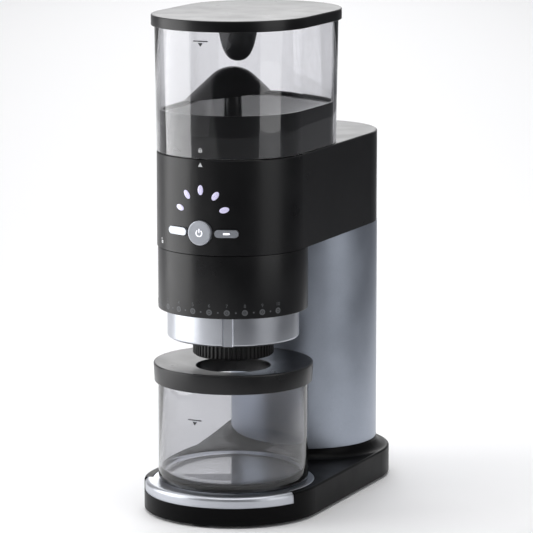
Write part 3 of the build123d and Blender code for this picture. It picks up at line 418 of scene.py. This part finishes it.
# %% Run a tree
def run_tree(tree, source, name, **values):
    """The plain mesh object that the tree makes of the source mesh."""
    seed = bpy.data.objects.new(name + "_seed", source)
    bpy.context.scene.collection.objects.link(seed)
    modifier = seed.modifiers.new("shape", "NODES")
    modifier.node_group = tree
    for item in tree.interface.items_tree:
        key = item.name.replace(" ", "_")
        if item.in_out == "INPUT" and key in values:
            modifier[item.identifier] = values[key]
    evaluated = seed.evaluated_get(bpy.context.evaluated_depsgraph_get())
    mesh = bpy.data.meshes.new_from_object(evaluated)
    seed.modifiers.clear()
    bpy.data.objects.remove(seed)
    mesh.name = name
    piece = bpy.data.objects.new(name, mesh)
    bpy.context.scene.collection.objects.link(piece)
    return piece


def tidy_mesh(piece, sharp_degrees=35):
    """Merges doubles, turns faces outwards and shades all but the sharp edges smooth."""
    shape = bmesh.new()
    shape.from_mesh(piece.data)
    bmesh.ops.remove_doubles(shape, verts=shape.verts, dist=0.001 * MM)
    bmesh.ops.recalc_face_normals(shape, faces=shape.faces)
    shape.to_mesh(piece.data)
    shape.free()
    piece.data.shade_smooth()
    piece.data.set_sharp_from_angle(angle=radians(sharp_degrees))
    return piece


def keep(piece, body, stands_for=()):
    """The last step for every piece: its body and the CAD it stands for."""
    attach(piece, body)
    if stands_for:
        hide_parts(*stands_for)
    print(f"{piece.name}: {len(piece.data.polygons)} faces, rides {body}")
    return piece


print("tree runner ready")

# %% [markdown]
# ## Profiles with rounded corners
# A moulded edge is never sharp, and its small radius is what catches the light. Each
# profile is a list of corners, radius and height in millimetres, with the rounding that
# each corner gets. The rounding runs from one side to the other as a quadratic curve,
# which is close to an arc at this size.

# %% Rounded profiles
def rounded(corners, steps=5):
    """Points of a closed profile from (radius, height, rounding) corners, in metres."""
    points = []
    for i, (r, z, size) in enumerate(corners):
        if not size:
            points.append((r * MM, z * MM))
            continue
        sides = []
        for other in (corners[i - 1], corners[(i + 1) % len(corners)]):
            dr, dz = other[0] - r, other[1] - z
            run = (dr * dr + dz * dz) ** 0.5
            cut = min(size, run / 2)
            sides.append((r + dr * cut / run, z + dz * cut / run))
        for k in range(steps + 1):
            t = k / steps
            a, b, c = (1 - t) ** 2, 2 * t * (1 - t), t * t
            points.append(
                ((a * sides[0][0] + b * r + c * sides[1][0]) * MM,
                 (a * sides[0][1] + b * z + c * sides[1][1]) * MM)
            )
    return points


def turned(name, corners, rear=FRONT_Y, front=FRONT_Y, finish=None, closed=True):
    """A casing turned from a profile; on-axis profiles run from the axis back to the axis."""
    points = rounded(corners)
    if closed:
        points.append(points[0])
    wire = bpy.data.meshes.new(name + "_profile")
    edges = [(i, i + 1) for i in range(len(points) - 1)]
    wire.from_pydata([(r, 0, z) for r, z in points], edges, [])
    piece = run_tree(
        TURN, wire, name, Front_axis=front, Rear_axis=rear, Steps_round=160, Finish=finish
    )
    return tidy_mesh(piece)


corner_points = len(rounded([(0, 0, 0), (9, 0, 1), (9, 9, 0)]))
print("a triangle with one rounded corner has", corner_points, "points")

# %% [markdown]
# ## The hopper wall and its lid
# The hopper is one clear wall, a little wider at the rim, with a thickened and rounded
# edge. The lid is a shallow black cap with a plug ring inside. The wall needs real
# thickness, because the dark edge lines of clear plastic come from light running along
# the inside of the wall.

# %% Hopper wall and lid
z0, z1 = HOPPER_FOOT / MM, HOPPER_RIM / MM
hopper_wall = turned(
    "hopper_wall",
    [(60.6, z0, 0.3), (62.25, z1, 0.9), (59.85, z1, 0.9), (58.2, z0, 0.3)],
    rear=HOPPER_REAR_Y, finish=FINISH["smoke_clear_plastic"],
)
keep(hopper_wall, "hopper", ["hopper_shell"])

z0, z1 = LID_FOOT / MM, LID_TOP / MM
lid_cap = turned(
    "lid_cap",
    [(0, z1, 0), (64.8, z1, 1.3), (64.8, z0, 0.6), (62.6, z0, 0.5), (62.6, 397.5, 0.4),
     (59.2, 397.5, 0.4), (59.2, z0, 0.4), (57.4, z0, 0.4), (57.4, 397.5, 0.4), (0, 397.5, 0)],
    rear=HOPPER_REAR_Y, finish=FINISH["black_plastic"], closed=False,
)
keep(lid_cap, "hopper_lid", ["hopper_lid"])

# %% [markdown]
# ## The cup and its cap
# The cup has a thick foot with a rounded corner inside. From outside it reads as two
# rims of light near the foot, so both corners get a true rounding. The cap is dished
# towards its wide mouth, so that grounds fall in and none stay on top.

# %% Cup and cap
z0, z1 = CUP_FOOT / MM, CUP_RIM / MM
cup = turned(
    "cup",
    [(0, z0, 0), (60.5, z0, 4.0), (60.5, z1, 0.6), (58.5, z1, 0.6), (58.5, 29.5, 8.0), (0, 29.5, 0)],
    finish=SMOKED_CUP, closed=False,
)
keep(cup, "container", ["grounds_container"])

z0, z1 = (corner.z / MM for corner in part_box("container_lid"))
cup_cap = turned(
    "cup_cap",
    [(61.0, z0, 0.4), (63.4, z0, 0.5), (64.1, z1 - 0.2, 1.2), (61.4, z1, 1.2), (40, 118.6, 3),
     (30, 117.6, 0.6), (30, 106, 0.6), (32, 106, 0.6), (32, 115.6, 0.4), (40, 116.4, 0.5),
     (54.6, 117.9, 0.3), (54.6, 109.5, 0.4), (56.6, 109.5, 0.4), (56.6, 118.1, 0.3), (61.0, 118.6, 0.4)],
    finish=FINISH["black_plastic"],
)
keep(cup_cap, "container_lid", ["container_lid"])

# %% [markdown]
# ## The column and the number ring
# The column is a drawn steel tube, and the number ring is a plain moulded band that
# meets the head in a shadow line. Both are turned in even steps, so that long soft
# reflections run down them without a break.

# %% Column and ring
z0, z1 = (corner.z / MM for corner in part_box("column_shell"))
column = turned(
    "column",
    [(61.0, z0, 0.3), (61.0, z1, 0), (59.0, z1, 0), (59.0, z0, 0.3)],
    front=REAR_Y, rear=REAR_Y, finish=FINISH["column_metal"],
)
keep(column, "root", ["column_shell"])

z0, z1 = RING_FOOT / MM, RING_TOP / MM
number_ring = turned(
    "number_ring",
    [(60.0, z0, 0.7), (60.0, z1, 0.6), (57.5, z1, 0.2), (57.5, z0, 0.2)],
    finish=FINISH["black_plastic"],
)
keep(number_ring, "root", ["scale_ring"])

# %% [markdown]
# ## Geometry Nodes: copies in a row, bent round an axis
# The numbers, dots, icons, lights and ribs all sit on round faces. They are easiest to
# draw flat, as if the casing were unrolled: x runs along the surface, z is height, and
# anything towards -y stands proud. One tree sets out copies in a row or a fan, each
# turned by a fixed step, and then bends the whole drawing round the axis. It is used
# for the dots, the ribs, the lights and, with a single copy, for each printed mark.

# %% The bending tree
def bending_tree():
    tree = bpy.data.node_groups.new("copies_bent_round_axis", "GeometryNodeTree")
    add_socket(tree, "Drawing", "NodeSocketGeometry")
    add_socket(tree, "Copies", "NodeSocketInt", default=1)
    add_socket(tree, "Start", "NodeSocketFloat", default=0.0)
    add_socket(tree, "Step", "NodeSocketFloat", default=0.0)
    add_socket(tree, "Height", "NodeSocketFloat", default=0.0)
    add_socket(tree, "Fan radius", "NodeSocketFloat", default=0.0)
    add_socket(tree, "First turn", "NodeSocketFloat", default=0.0)
    add_socket(tree, "Turn step", "NodeSocketFloat", default=0.0)
    add_socket(tree, "Bend radius", "NodeSocketFloat", default=HEAD_R)
    add_socket(tree, "Axis", "NodeSocketFloat", default=FRONT_Y)
    add_socket(tree, "Finish", "NodeSocketMaterial")
    add_socket(tree, "Bent", "NodeSocketGeometry", "OUTPUT")
    given = node(tree, "NodeGroupInput").outputs
    index = node(tree, "GeometryNodeInputIndex").outputs[0]
    turn = node(
        tree,
        "ShaderNodeMath",
        {0: index, 1: given["Turn step"], 2: given["First turn"]},
        operation="MULTIPLY_ADD",
    ).outputs[0]
    along = node(
        tree,
        "ShaderNodeMath",
        {0: index, 1: given["Step"], 2: given["Start"]},
        operation="MULTIPLY_ADD",
    ).outputs[0]
    sine = node(tree, "ShaderNodeMath", {0: turn}, operation="SINE").outputs[0]
    cosine = node(tree, "ShaderNodeMath", {0: turn}, operation="COSINE").outputs[0]
    fan = given["Fan radius"]
    x = node(tree, "ShaderNodeMath", {0: fan, 1: sine, 2: along}, operation="MULTIPLY_ADD")
    z = node(tree, "ShaderNodeMath", {0: fan, 1: cosine, 2: given["Height"]}, operation="MULTIPLY_ADD")
    place = node(tree, "ShaderNodeCombineXYZ", {0: x.outputs[0], 2: z.outputs[0]})
    points = node(
        tree, "GeometryNodePoints", {"Count": given["Copies"], "Position": place.outputs[0]}
    )
    spin = node(tree, "ShaderNodeCombineXYZ", {1: turn})
    rotation = node(tree, "FunctionNodeEulerToRotation", {0: spin.outputs[0]})
    copies = node(
        tree,
        "GeometryNodeInstanceOnPoints",
        {"Points": points.outputs[0], "Instance": given["Drawing"], "Rotation": rotation.outputs[0]},
    )
    real = node(tree, "GeometryNodeRealizeInstances", {0: copies.outputs[0]})
    here = node(tree, "GeometryNodeInputPosition").outputs[0]
    flat = node(tree, "ShaderNodeSeparateXYZ", {0: here}).outputs
    angle = node(
        tree, "ShaderNodeMath", {0: flat["X"], 1: given["Bend radius"]}, operation="DIVIDE"
    ).outputs[0]
    reach = node(
        tree, "ShaderNodeMath", {0: given["Bend radius"], 1: flat["Y"]}, operation="SUBTRACT"
    ).outputs[0]
    sine = node(tree, "ShaderNodeMath", {0: angle}, operation="SINE").outputs[0]
    cosine = node(tree, "ShaderNodeMath", {0: angle}, operation="COSINE").outputs[0]
    x = node(tree, "ShaderNodeMath", {0: reach, 1: sine}, operation="MULTIPLY")
    back = node(tree, "ShaderNodeMath", {0: reach, 1: cosine}, operation="MULTIPLY")
    y = node(tree, "ShaderNodeMath", {0: given["Axis"], 1: back.outputs[0]}, operation="SUBTRACT")
    bent = node(tree, "ShaderNodeCombineXYZ", {0: x.outputs[0], 1: y.outputs[0], 2: flat["Z"]})
    shaped = node(
        tree, "GeometryNodeSetPosition", {"Geometry": real.outputs[0], "Position": bent.outputs[0]}
    )
    done = node(
        tree,
        "GeometryNodeSetMaterial",
        {"Geometry": shaped.outputs[0], "Material": given["Finish"]},
    )
    node(tree, "NodeGroupOutput", {0: done.outputs[0]})
    return tree


BEND = bending_tree()
print("bending tree:", len(BEND.nodes), "nodes")

# %% [markdown]
# ## Flat drawings
# A mark is drawn as closed outlines in millimetres and filled as a 2D curve, which
# understands holes, then given the thickness of an ink film. The curve is made a mesh
# before its place is applied, and stood up so that its face looks along -y.

# %% Drawing helpers
STAND_UP = Matrix.Rotation(pi / 2, 4, "X")


def ellipse(x, z, rx, rz, steps=28):
    return [(x + rx * cos(2 * pi * i / steps), z + rz * sin(2 * pi * i / steps)) for i in range(steps)]


def bar(x, z, wide, high):
    return [(x - wide / 2, z - high / 2), (x + wide / 2, z - high / 2),
            (x + wide / 2, z + high / 2), (x - wide / 2, z + high / 2)]


def pill(x, z, wide, high, steps=10):
    """A bar with round ends."""
    r = high / 2
    ends = [(1, -pi / 2), (-1, pi / 2)]
    return [
        (x + side * (wide / 2 - r) + r * cos(start + pi * i / steps), z + r * sin(start + pi * i / steps))
        for side, start in ends
        for i in range(steps + 1)
    ]


def band(x, z, inner, outer, first, last, steps=24):
    """Part of a ring, between two angles in degrees, anticlockwise from +x."""
    angles = [radians(first + (last - first) * i / steps) for i in range(steps + 1)]
    out = [(x + outer * cos(a), z + outer * sin(a)) for a in angles]
    return out + [(x + inner * cos(a), z + inner * sin(a)) for a in reversed(angles)]


def drawing(name, outlines, proud=0.06, sunk=0.02):
    """A mesh of filled outlines that stands proud of the surface by a film's thickness."""
    curve = bpy.data.curves.new(name, "CURVE")
    curve.dimensions = "2D"
    curve.fill_mode = "BOTH"
    curve.extrude = (proud + sunk) / 2 * MM
    for outline in outlines:
        spline = curve.splines.new("POLY")
        spline.points.add(len(outline) - 1)
        spline.use_cyclic_u = True
        for point, (x, z) in zip(spline.points, outline):
            point.co = (x * MM, z * MM, 0, 1)
    return stand(curve, (proud - sunk) / 2)


def stand(curve, lift):
    """The curve as an upright mesh, its middle lifted by so many millimetres."""
    holder = bpy.data.objects.new(curve.name, curve)
    mesh = bpy.data.meshes.new_from_object(holder)
    bpy.data.objects.remove(holder)
    mesh.transform(Matrix.Translation((0, -lift * MM, 0)) @ STAND_UP)
    return mesh


def bend(name, mesh, body, finish, slot=None, stands_for=(), **values):
    """Bends a drawing round the axis and keeps it."""
    piece = run_tree(BEND, mesh, name, Finish=finish, **values)
    return keep(tidy_mesh(piece), body, stands_for)


print("drawing helpers ready")

# %% [markdown]
# ## The number ring's marks
# The ring is printed with the grind settings 1 to 10, a large dot under each and a
# small one between. They are spaced by 13.6 degrees, which is 14.2 mm along the ring,
# and setting 7 stands over the dial's pointer channel. The dots are copies in a row.
# Each number is a text object, made a mesh and bent on its own.

# %% Dots and numbers
PITCH = radians(13.6) * SCALE_R
SEVEN = radians(20) * SCALE_R
DOTS_Z = 171 * MM
NUMBERS_Z = 176.2 * MM
big_dot = drawing("big_dot", [ellipse(0, 0, 2.4, 2.4), ellipse(0, 0, 1.1, 1.1, 18)])
dot_core = drawing("dot_core", [ellipse(0, 0, 0.75, 0.75, 16)])
small_dot = drawing("small_dot", [ellipse(0, 0, 0.7, 0.7, 14)])
row = {"Copies": 10, "Step": PITCH, "Height": DOTS_Z, "Bend_radius": SCALE_R}
bend("setting_rings", big_dot, "root", GREY_INK, Start=SEVEN - 6 * PITCH, **row)
bend("setting_cores", dot_core, "root", GREY_INK, Start=SEVEN - 6 * PITCH, **row)
row["Copies"] = 9
bend("half_steps", small_dot, "root", GREY_INK, Start=SEVEN - 5.5 * PITCH, **row)
for number in range(1, 11):
    text = bpy.data.curves.new(f"setting_{number}", "FONT")
    text.body = str(number)
    text.size = 3.9 * MM
    text.align_x = "CENTER"
    text.align_y = "CENTER"
    text.extrude = 0.04 * MM
    bend(
        f"setting_{number}", stand(text, 0.02), "root", GREY_INK,
        Start=SEVEN + (number - 7) * PITCH, Height=NUMBERS_Z, Bend_radius=SCALE_R,
    )

# %% [markdown]
# ## Lock marks and fill lines
# A white triangle on the head points up at a closed padlock on the hopper. When the
# hopper is turned to unlock, the closed padlock leaves the triangle, and an open padlock
# further round the head shows which way. A padlock is three outlines: a body, its
# keyhole and a shackle. The fill lines on the hopper and the cup are a bar over a small
# triangle, printed in dark ink on the clear wall.

# %% Lock marks
WALL_R_AT_LOCK = 60.72 * MM
OPEN_LOCK_ANGLE = -42
padlock = [bar(0, -0.9, 3.0, 2.3), ellipse(0, -0.9, 0.5, 0.5, 12), band(0, 0.3, 0.75, 1.2, 0, 180)]
open_padlock = [padlock[0], padlock[1], band(-0.95, 1.0, 0.75, 1.2, -10, 190)]
bend("closed_padlock", drawing("closed_padlock", padlock), "hopper", WHITE_INK,
     Height=299.3 * MM, Bend_radius=WALL_R_AT_LOCK)
bend("open_padlock", drawing("open_padlock", open_padlock), "root", WHITE_INK,
     Start=radians(OPEN_LOCK_ANGLE) * HEAD_R, Height=223 * MM, Bend_radius=HEAD_R)
bend("lock_pointer", drawing("lock_pointer", [[(-1.9, -1.6), (1.9, -1.6), (0, 1.8)]]), "root",
     WHITE_INK, Height=287.6 * MM, Bend_radius=HEAD_R)

# %% Fill lines
WALL_R_AT_LINE = 62.07 * MM
CUP_R = 60.5 * MM
fill_line = [bar(0, 0.9, 12.4, 0.9), [(-2.1, -0.4), (0, -3.4), (2.1, -0.4)]]
bend("hopper_fill_line", drawing("hopper_fill_line", fill_line), "hopper", DARK_INK,
     Start=1 * MM, Height=383.4 * MM, Bend_radius=WALL_R_AT_LINE)
bend("cup_fill_line", drawing("cup_fill_line", fill_line), "container", DARK_INK,
     Start=radians(-5.5) * CUP_R, Height=82.6 * MM, Bend_radius=CUP_R)

# %% [markdown]
# ## The bean-shaped lights
# Five lenses shaped like coffee beans fan out over the power key: a domed oval with a
# slightly curved crease down its length. Rings of points are pulled in from the rim and
# lifted as a dome, and the crease is pressed in where a point is near the middle line.
# One bean is drawn, and the tree sets out the five and bends them onto the head.

# %% Bean lights
BEAN_HALF_WIDE = 2.28
BEAN_HALF_LONG = 3.9
BEAN_DOME = 0.55
BEAN_SUNK = 1.2
CREASE_SWAY = 0.35
CREASE_HALF_WIDE = 0.42
CREASE_DEPTH = 0.34
CREASE_END = 0.86


def bean_mesh(rings=9, around=36):
    """One lens, standing along z, domed towards -y, with a flange sunk into the head."""
    shape = bmesh.new()
    loops = []
    for k in range(rings):
        out = 1 - k / rings
        loop = []
        for i in range(around):
            a = 2 * pi * i / around
            x, z = BEAN_HALF_WIDE * out * sin(a), BEAN_HALF_LONG * out * cos(a)
            sway = CREASE_SWAY * sin(z / BEAN_HALF_LONG * pi)
            near_line = max(0, 1 - ((x - sway) / CREASE_HALF_WIDE) ** 2)
            short_of_end = max(0, 1 - (z / (BEAN_HALF_LONG * CREASE_END)) ** 4)
            lift = BEAN_DOME * (1 - out * out) ** 0.5 - CREASE_DEPTH * near_line * short_of_end
            loop.append(shape.verts.new((x * MM, -lift * MM, z * MM)))
        loops.append(loop)
    base = [shape.verts.new((v.co.x, BEAN_SUNK * MM, v.co.z)) for v in loops[0]]
    loops.insert(0, base)
    for low, high in zip(loops, loops[1:]):
        for i in range(around):
            j = (i + 1) % around
            shape.faces.new((low[i], low[j], high[j], high[i]))
    shape.faces.new(loops[-1])
    shape.faces.new(loops[0])
    mesh = bpy.data.meshes.new("bean")
    shape.to_mesh(mesh)
    shape.free()
    return mesh


bend(
    "bean_lenses", bean_mesh(), "root", FINISH["light_lens"], "light_lens", ["bean_lights"],
    Copies=5, Fan_radius=20 * MM, First_turn=radians(-76), Turn_step=radians(38),
    Height=247.7 * MM, Bend_radius=HEAD_R,
)

# %% [markdown]
# ## Ribs on the outlet
# The soft outlet under the dial is ribbed all the way round for grip. One rib is a
# narrow strip with a rounded face, and the tree sets 56 of them round the nozzle.

# %% Outlet ribs
RIBS = 56


def rib_mesh(low, high, half_wide=0.95, proud=0.95):
    """An upright strip with a half-round face, its lower end drawn in."""
    shape = bmesh.new()
    loops = []
    for z, scale in ((low, 0.3), (low + 0.6, 1), (high - 0.2, 1)):
        loop = [shape.verts.new((half_wide * MM, 0.3 * MM, z * MM))]
        for i in range(7):
            a = pi * i / 6
            loop.append(
                shape.verts.new((half_wide * cos(a) * MM, -proud * scale * sin(a) ** 0.6 * MM, z * MM))
            )
        loop.append(shape.verts.new((-half_wide * MM, 0.3 * MM, z * MM)))
        loops.append(loop)
    for a, b in zip(loops, loops[1:]):
        for i in range(len(a)):
            j = (i + 1) % len(a)
            shape.faces.new((a[i], a[j], b[j], b[i]))
    shape.faces.new(loops[0])
    shape.faces.new(loops[-1])
    mesh = bpy.data.meshes.new("rib")
    shape.to_mesh(mesh)
    shape.free()
    return mesh


rib_low, rib_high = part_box("outlet_nozzle")[0].z / MM + 0.8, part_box("grind_dial")[0].z / MM
bend(
    "outlet_ribs", rib_mesh(rib_low, rib_high), "grind_dial", FINISH["outlet_rubber"],
    "outlet_rubber", Copies=RIBS, Step=2 * pi * OUTLET_R / RIBS, Bend_radius=OUTLET_R,
)

# %% [markdown]
# ## Marks on the keys
# The power key and the two pill-shaped keys have flat faces, so their marks are laid on
# a plane that touches the face rather than bent. The power mark is a ring with a gap and
# a bar, and each pill has a short lit bar.

# %% Key marks
def lay(name, mesh, body, finish, angle, distance):
    """Lays a flat drawing on a plane at a distance from the front axis, turned round it."""
    turn = Matrix.Rotation(radians(angle), 4, "Z")
    place = Matrix.Translation((0, FRONT_Y, BUTTON_Z)) @ turn @ Matrix.Translation((0, -distance, 0))
    mesh.transform(place)
    mesh.materials.clear()
    mesh.materials.append(finish)
    piece = bpy.data.objects.new(name, mesh)
    bpy.context.scene.collection.objects.link(piece)
    return keep(tidy_mesh(piece), body)


KEY_FACE = FRONT_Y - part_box("power_button")[0].y
power = [band(0, 0, 2.1, 2.9, 125, 415, 40), bar(0, 2.0, 0.85, 3.0)]
lay("power_mark", drawing("power_mark", power), "power_button", LIT_MARK, 0, KEY_FACE)
PILL_PROUD = 1.4 * MM
PILL_FACE = HEAD_R + PILL_PROUD
lay("minus_mark", drawing("minus_mark", [pill(0, 0, 5.6, 1.5)]), "minus_button", LIT_MARK,
    -PILL_ANGLE, PILL_FACE)
lay("plus_mark", drawing("plus_mark", [pill(0, 0, 5.6, 1.5)]), "plus_button", LIT_MARK,
    PILL_ANGLE, PILL_FACE)

# %% [markdown]
# ## The studio
# The object stands on a sheet of white paper that reaches well behind it and to its
# left. In front and to the right the paper gives way to the mid grey of the studio
# floor: black satin plastic and clear walls are drawn by what they reflect, and need
# something darker than white on one side to show their shape. The change is slow. Round
# the object the floor is pale, and from some other sides the grey comes into view.

# %% Floor
VIEW_TURN = 24.37
WHITE_ENDS, GREY_STARTS = 0.28, 0.55
EDGE_LEAN = -0.44
EDGE_SPREAD = 0.34
RIGHT = (cos(radians(VIEW_TURN)), sin(radians(VIEW_TURN)), 0)
AWAY = (-sin(radians(VIEW_TURN)), cos(radians(VIEW_TURN)), 0)


def studio_floor(size=40.0):
    mesh = bpy.data.meshes.new("floor")
    corners = [(-size, -size, 0), (size, -size, 0), (size, size, 0), (-size, size, 0)]
    mesh.from_pydata(corners, [], [(0, 1, 2, 3)])
    floor = bpy.data.objects.new("floor", mesh)
    bpy.context.scene.collection.objects.link(floor)
    paper = bpy.data.materials.new("white_paper_on_grey_floor")
    paper.use_nodes = True
    tree = paper.node_tree
    tree.nodes.clear()
    place = node(tree, "ShaderNodeTexCoord").outputs["Object"]
    across = node(tree, "ShaderNodeVectorMath", {0: place, 1: RIGHT}, operation="DOT_PRODUCT")
    along = node(tree, "ShaderNodeVectorMath", {0: place, 1: AWAY}, operation="DOT_PRODUCT")
    far = node(tree, "ShaderNodeMath", {0: along.outputs["Value"]}, operation="ABSOLUTE")
    skew = node(
        tree,
        "ShaderNodeMath",
        {0: along.outputs["Value"], 1: EDGE_LEAN, 2: across.outputs["Value"]},
        operation="MULTIPLY_ADD",
    )
    edge = node(
        tree,
        "ShaderNodeMath",
        {0: far.outputs[0], 1: EDGE_SPREAD, 2: skew.outputs[0]},
        operation="MULTIPLY_ADD",
    )
    white = node(
        tree,
        "ShaderNodeMapRange",
        {"Value": edge.outputs[0], "From Min": WHITE_ENDS, "From Max": GREY_STARTS,
         "To Min": 1.0, "To Max": 0.0},
        interpolation_type="SMOOTHSTEP",
    )
    colour = node(
        tree,
        "ShaderNodeMix",
        {0: white.outputs[0], 6: linear("#6f7073"), 7: linear("#fafafb")},
        data_type="RGBA",
    )
    skin = node(
        tree, "ShaderNodeBsdfPrincipled", {"Base Color": colour.outputs[2], "Roughness": 0.8, "IOR": 1.3}
    )
    node(tree, "ShaderNodeOutputMaterial", {"Surface": skin.outputs[0]})
    mesh.materials.append(paper)


studio_floor()
print("floor laid")

# %% [markdown]
# ## The lights
# A tall soft light close on the left draws the long soft edge down the head and the
# dial. A larger and dimmer one, further off on the right, lights the column. A long bank
# overhead, which runs back from the object, whitens the paper and the tops. The world is
# a dim grey room with a bright wall at the back, which the flat tops mirror.

# %% Lights
def soft_light(name, place, aim, size, power):
    """A rectangular soft light, width and height in metres, that points at aim."""
    lamp = bpy.data.lights.new(name, "AREA")
    lamp.shape = "RECTANGLE"
    lamp.size, lamp.size_y = size
    lamp.energy = power
    light = bpy.data.objects.new(name, lamp)
    light.location = place
    towards = Matrix.Translation(aim).translation - Matrix.Translation(place).translation
    light.rotation_euler = towards.to_track_quat("-Z", "Y").to_euler()
    light.visible_camera = False
    bpy.context.scene.collection.objects.link(light)
    return light


soft_light(
    "left_softbox", place=(-0.58, -0.33, 0.42), aim=(0, -0.07, 0.42), size=(0.64, 0.82), power=4.3
)
soft_light(
    "right_softbox", place=(1.3, -0.22, 0.6), aim=(0, 0.05, 0.3), size=(0.9, 1.3), power=4.4
)

BANK_HEIGHT = 1.3
BANK_WIDTH = 1.3
BANK_START, BANK_END = -0.75, 5.8
bank_middle = (BANK_START + BANK_END) / 2
bank = (AWAY[0] * bank_middle, AWAY[1] * bank_middle, BANK_HEIGHT)
overhead = soft_light(
    "overhead_bank", place=bank, aim=(bank[0], bank[1], 0),
    size=(BANK_WIDTH, BANK_END - BANK_START), power=49,
)
overhead.rotation_euler = (0, 0, radians(VIEW_TURN))

ROOM_GLOW, WALL_GLOW = 0.24, 0.85
world = bpy.data.worlds.new("studio")
world.use_nodes = True
room = world.node_tree
room.nodes.clear()
direction = node(room, "ShaderNodeTexCoord").outputs["Generated"]
back = (AWAY[0], AWAY[1], 0.25)
facing_back = node(
    room, "ShaderNodeVectorMath", {0: direction, 1: back}, operation="DOT_PRODUCT"
)
glow = node(
    room,
    "ShaderNodeMapRange",
    {"Value": facing_back.outputs["Value"], "From Min": 0.8, "From Max": 1.0,
     "To Min": ROOM_GLOW, "To Max": WALL_GLOW},
    interpolation_type="SMOOTHSTEP",
)
sky = node(room, "ShaderNodeBackground", {"Color": linear("#fdfdff"), "Strength": glow.outputs[0]})
node(room, "ShaderNodeOutputWorld", {0: sky.outputs[0]})
bpy.context.scene.world = world
bpy.context.scene.view_settings.view_transform = "Standard"
print("three soft lights and the world")

# %% [markdown]
# ## The camera
# A long lens from the front right and a little above, which keeps the upright edges
# nearly parallel, as in a catalogue picture.

# %% Camera
LENS_MM = 231.9
LOOK_DOWN = 9.88
CAMERA_PLACE = (1.1392, -2.5205, 0.6683)
lens = bpy.data.cameras.new("camera")
lens.lens = LENS_MM
lens.sensor_width = 36
lens.clip_start, lens.clip_end = 0.1, 100
camera = bpy.data.objects.new("camera", lens)
camera.location = CAMERA_PLACE
camera.rotation_euler = (radians(90 - LOOK_DOWN), 0, radians(VIEW_TURN))
bpy.context.scene.collection.objects.link(camera)
bpy.context.scene.camera = camera
print("camera set")
